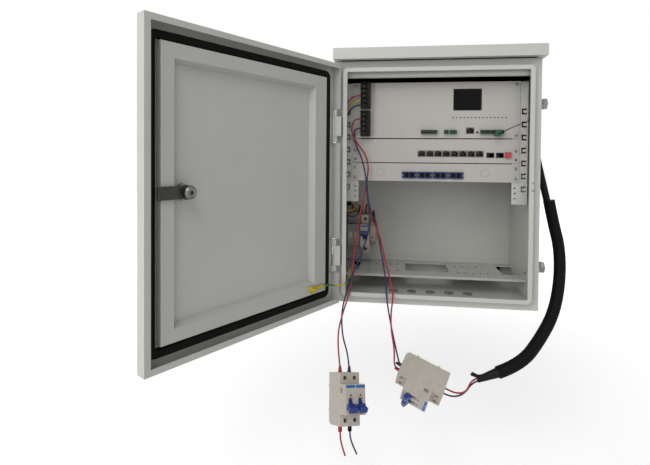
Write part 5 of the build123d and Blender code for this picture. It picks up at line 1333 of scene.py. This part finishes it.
weld_profile, weld_level = ((0.0, 1.7), (0.1, 1.55), (0.16, 0.9)), 6.1
weld_places = ((69.0, 302.0), (58.0, 302.0), (69.0, 205.0), (70.0, 163.0), (58.0, 163.0), (69.0, 113.0))
welds = bmesh.new()
for along, z in weld_places:
    spin(welds, on_door(along, weld_level, z), -door_out, weld_profile, 16)
finished("door_welds", welds, white_paint, "door")
rivet_profile = ((0.0, 2.1), (0.35, 2.0), (0.8, 1.4), (1.0, 0.5))
rivets = bmesh.new()
for x, z in ((334.5, 219.0), (334.7, 206.4)):
    spin(rivets, at(x, -12.4, z), front, rivet_profile, 16)
finished("catch_rivets", rivets, zinc_plate, "cabinet")
leftwards = Vector((-1, 0, 0))
plug_profile = ((0.0, 2.6), (0.5, 2.5), (0.8, 1.6))
turned("wall_plug", at(348.8, 73.0, 46.0), leftwards, plug_profile, black_rubber, 18)
print("welds", len(weld_places))

# %% [markdown]
# ## Fibre adapters
# Four double adapters stand side by side, and each shows two dark openings in a dark blue moulding. Each
# opening is a black plate of painted shade with a raised lip over it, and the two outer ears carry a small screw.

# %% Fit out the adapters
adapter_count, adapter_pitch, first_adapter = 4, 27.6, 131.5
adapter_front, adapter_low, adapter_high = 26.0, 222.3, 234.3
port_offset, port_half, port_margin = 4.7, 3.8, 1.8
lip_margin, lip_low, lip_high, ear_offset = 0.3, 1.9, 0.9, 11.7
ear_level = (adapter_low + adapter_high) / 2
port_shades, lips, ear_spots = [], [], []
for number in range(adapter_count):
    middle = first_adapter + adapter_pitch * number
    for side in (-1, 1):
        left, right = middle + side * port_offset - port_half, middle + side * port_offset + port_half
        port_shades.append(((left, adapter_front - 0.05, adapter_low + port_margin),
                      (right, adapter_front + 0.4, adapter_high - port_margin)))
        lips.append(((left - lip_margin, adapter_front - 0.5, adapter_high - lip_low),
                     (right + lip_margin, adapter_front + 0.3, adapter_high - lip_high)))
        ear_spots.append(at(middle + side * ear_offset, adapter_front, ear_level))
# painted shade: black plates stand in for the shade inside each adapter opening
blocks("adapter_ports", port_shades, display_glass, cut_back=0.02)
blocks("adapter_lips", lips, adapter_blue, cut_back=0.1)
screws("adapter_screws", [ear_spots[0], ear_spots[-1]], front, 1.3, 0.7, zinc_plate)
print("adapter ports", len(port_shades))

# %% [markdown]
# ## Folded edges and plugs of the body
# Behind the top of the rim the sheet turns down once more, as a lintel that keeps rain off the units.
# The four wall bolt holes have soft blanking plugs until the cabinet is hung.

# %% Add the lintel and the plugs
lintel_low, lintel_high = 400.8, 418.0
lintel_left, lintel_right = 14.0, 336.0
lintel_front, lintel_back, lintel_fold = 1.25, 2.65, 6.0
blocks("mouth_lintel", [
    ((lintel_left, lintel_front, lintel_low), (lintel_right, lintel_back, lintel_high)),
    ((lintel_left, lintel_front, lintel_low - 0.2), (lintel_right, lintel_fold, lintel_low + 1.2))
], white_paint, cut_back=0.4)
blank_profile = ((0.0, 6.0), (0.6, 6.0), (1.2, 5.0), (1.4, 3.0))
bolt_spots = [at(x, 188.8, z) for x in (25.0, 325.0) for z in (25.0, 405.0)]
bolt_plugs = bmesh.new()
for spot in bolt_spots:
    spin(bolt_plugs, spot, front, blank_profile, 18)
finished("bolt_hole_plugs", bolt_plugs, black_rubber, "cabinet")
print("bolt hole plugs", len(bolt_spots))

# %% [markdown]
# ## Elbow on the right wall
# The sleeve leaves the cabinet through a moulded elbow: a round flange on the wall, a bend, and a slim
# boot that runs down behind the edge of the body to the braid. Its rings follow a smooth line, and
# the radius changes with the distance along it. A six sided nut holds it from inside the wall.

# %% Mould the elbow
elbow_points = [(350.2, 76, 300), (356, 76, 300), (361.5, 75.8, 298), (363.5, 75.4, 286), (366.5, 74.9, 262),
                (375.3, 73.6, 225), (385.5, 72.05, 181.0)]
elbow_radii = ((0.0, 12.5), (2.4, 12.5), (3.0, 8.8), (16.0, 8.6), (40.0, 6.6), (140.0, 6.0))
elbow_sides, nut_sides = 24, 6
elbow_nut_profile, elbow_nut_place = ((0.0, 14.5), (4.4, 14.5), (5.0, 13.2)), (348.8, 76, 300)


def radius_at(travelled, table):
    """The radius at a distance along a line, read between the rows of a table."""
    for (near, low), (far, high) in zip(table, table[1:]):
        if travelled <= far:
            return low + (high - low) * (travelled - near) / (far - near)
    return table[-1][1]


def tapered(build, points, smoothness, table, sides, flat=1.0):
    """Adds a tube along a smooth line, with the radii of a table, flattened by a share."""
    skin(build, [ring(point, side, across, radius_at(travelled, table), sides, flat)
                 for point, side, across, travelled in framed(smooth_line(points, smoothness))])


elbow = bmesh.new()
tapered(elbow, elbow_points, 14, elbow_radii, elbow_sides)
spin(elbow, at(*elbow_nut_place), leftwards, elbow_nut_profile, nut_sides)
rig.replaces(finished("elbow_boot", elbow, black_rubber, "cabinet"), "side_elbow")
print("elbow ends at", elbow_points[-1])

# %% [markdown]
# ## Cut end of the sleeve
# Where the leads come out, the sleeve is bound with tape and one strip of it sticks out to the left.
# The strip is a flattened tube with a blunt tip.

# %% Add the loose strip of tape
stub_points = [(262.0, -24.5, -103.0), (255.0, -26.0, -105.5), (248.0, -27.0, -106.5), (242.0, -27.0, -104.5),
               (236.8, -27.0, -102.4)]
stub_radii = ((0.0, 5.2), (10.0, 4.9), (20.0, 4.6), (26.0, 5.2), (40.0, 4.8))
stub_flat, stub_sides = 0.55, 14
stub = bmesh.new()
tapered(stub, stub_points, 8, stub_radii, stub_sides, stub_flat)
tape_strip = finished("tape_strip", stub, black_rubber, "cabinet")
print("tape strip ends at", stub_points[-1])

# %% [markdown]
# ## Declaring the leads
# A free lead has a length of its own and something on its far end. The leads of the first breaker
# carry it, and so do those of the second. The tails below the first breaker end bare, as cut.

# %% Say what each lead is
lead_facts = {
    "lead_red_1": ("fitting", (boots["lead_red_1"], nodes["hung_breaker_1"], nodes["hung_toggle_1"])),
    "lead_blue_1": ("fitting", (boots["lead_blue_1"],)),
    "lead_red_2": ("fitting", (boots["lead_red_2"], nodes["hung_breaker_2"], nodes["hung_toggle_2"])),
    "lead_blue_2": ("fitting", (boots["lead_blue_2"],)),
    "tail_red": ("bare", (boots["tail_red"],)),
    "tail_blue": ("bare", (boots["tail_blue"],)),
    "out_red": ("object", ()),
    "out_blue": ("object", ()),
}
for name, (far_end, carried) in lead_facts.items():
    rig.cord(free_leads[name], exit=at(*lead_routes[name][0]), length=lead_lengths[name] * MM,
            diameter=lead_diameter * MM, far_end=far_end, stiffness="medium", lay="hanging",
            with_pieces=carried)

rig.cord(sleeve_piece, exit=sleeve_line[0], length=sleeve_length * MM, diameter=sleeve_diameter * MM,
        far_end="fitting", stiffness="stiff", lay="hanging", path=sleeve_line,
        with_pieces=[nodes["sleeve_wrap"], tape_strip])
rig.cord(sensor_wire, exit=at(*sensor_route[0]), length=sensor_length * MM, diameter=sensor_diameter * MM,
        far_end="object", stiffness="limp", lay="hanging")
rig.blend(bond_piece, "cabinet", "door", start=at(12.0, -14.0, 45.0), end=at(-2.0, -40.0, 45.0))
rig.cord(bond_piece, exit=bond_line[0], length=bond_length * MM, diameter=bond_diameter * MM,
        far_end="object", stiffness="medium", lay="hanging", path=bond_line)
print("cords declared", len(lead_facts) + 3)

# %% [markdown]
# ## Slots of the added pieces
# Someone who wants this cabinet in another colour repaints a slot of its record. Each added piece whose
# finish is in the list below names the slot that its finish stands for, so it is repainted with the solids round it.

# %% Name the slots
slots = {
    white_paint: "white_paint", unit_paint: "unit_paint", black_moulding: "black_plastic",
    display_glass: "display_glass", zinc_plate: "zinc_steel", rolled_steel: "dark_steel", brass: "brass_lug",
    blue_moulding: "blue_plastic", adapter_blue: "blue_plastic", stripe_blue: "blue_plastic",
    box_moulding: "white_plastic", grey_moulding: "grey_plastic", red_insulation: "red_insulation",
    blue_insulation: "blue_insulation", dark_blue_insulation: "blue_insulation",
    yellow_insulation: "earth_insulation", green_insulation: "earth_insulation",
}
slotted = 0
for piece in bpy.context.scene.objects:
    if piece.type in ("MESH", "CURVE") and piece.name not in nodes and piece.data.materials[0] in slots:
        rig.slot(piece, slots[piece.data.materials[0]])
        slotted += 1
print("pieces with a slot", slotted)

# %% [markdown]
# ## Size
# The solids' own box and that of the finished object are both written to a file.

# %% Write both boxes and finish
low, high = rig.bounds()
sizes = {"cad_low": list(cad_low), "cad_high": list(cad_high),
         "visual_low": list(low), "visual_high": list(high)}
with open("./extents.json", "w") as size_file:
    json.dump(sizes, size_file)
print("size", [round(value, 4) for value in high - low])
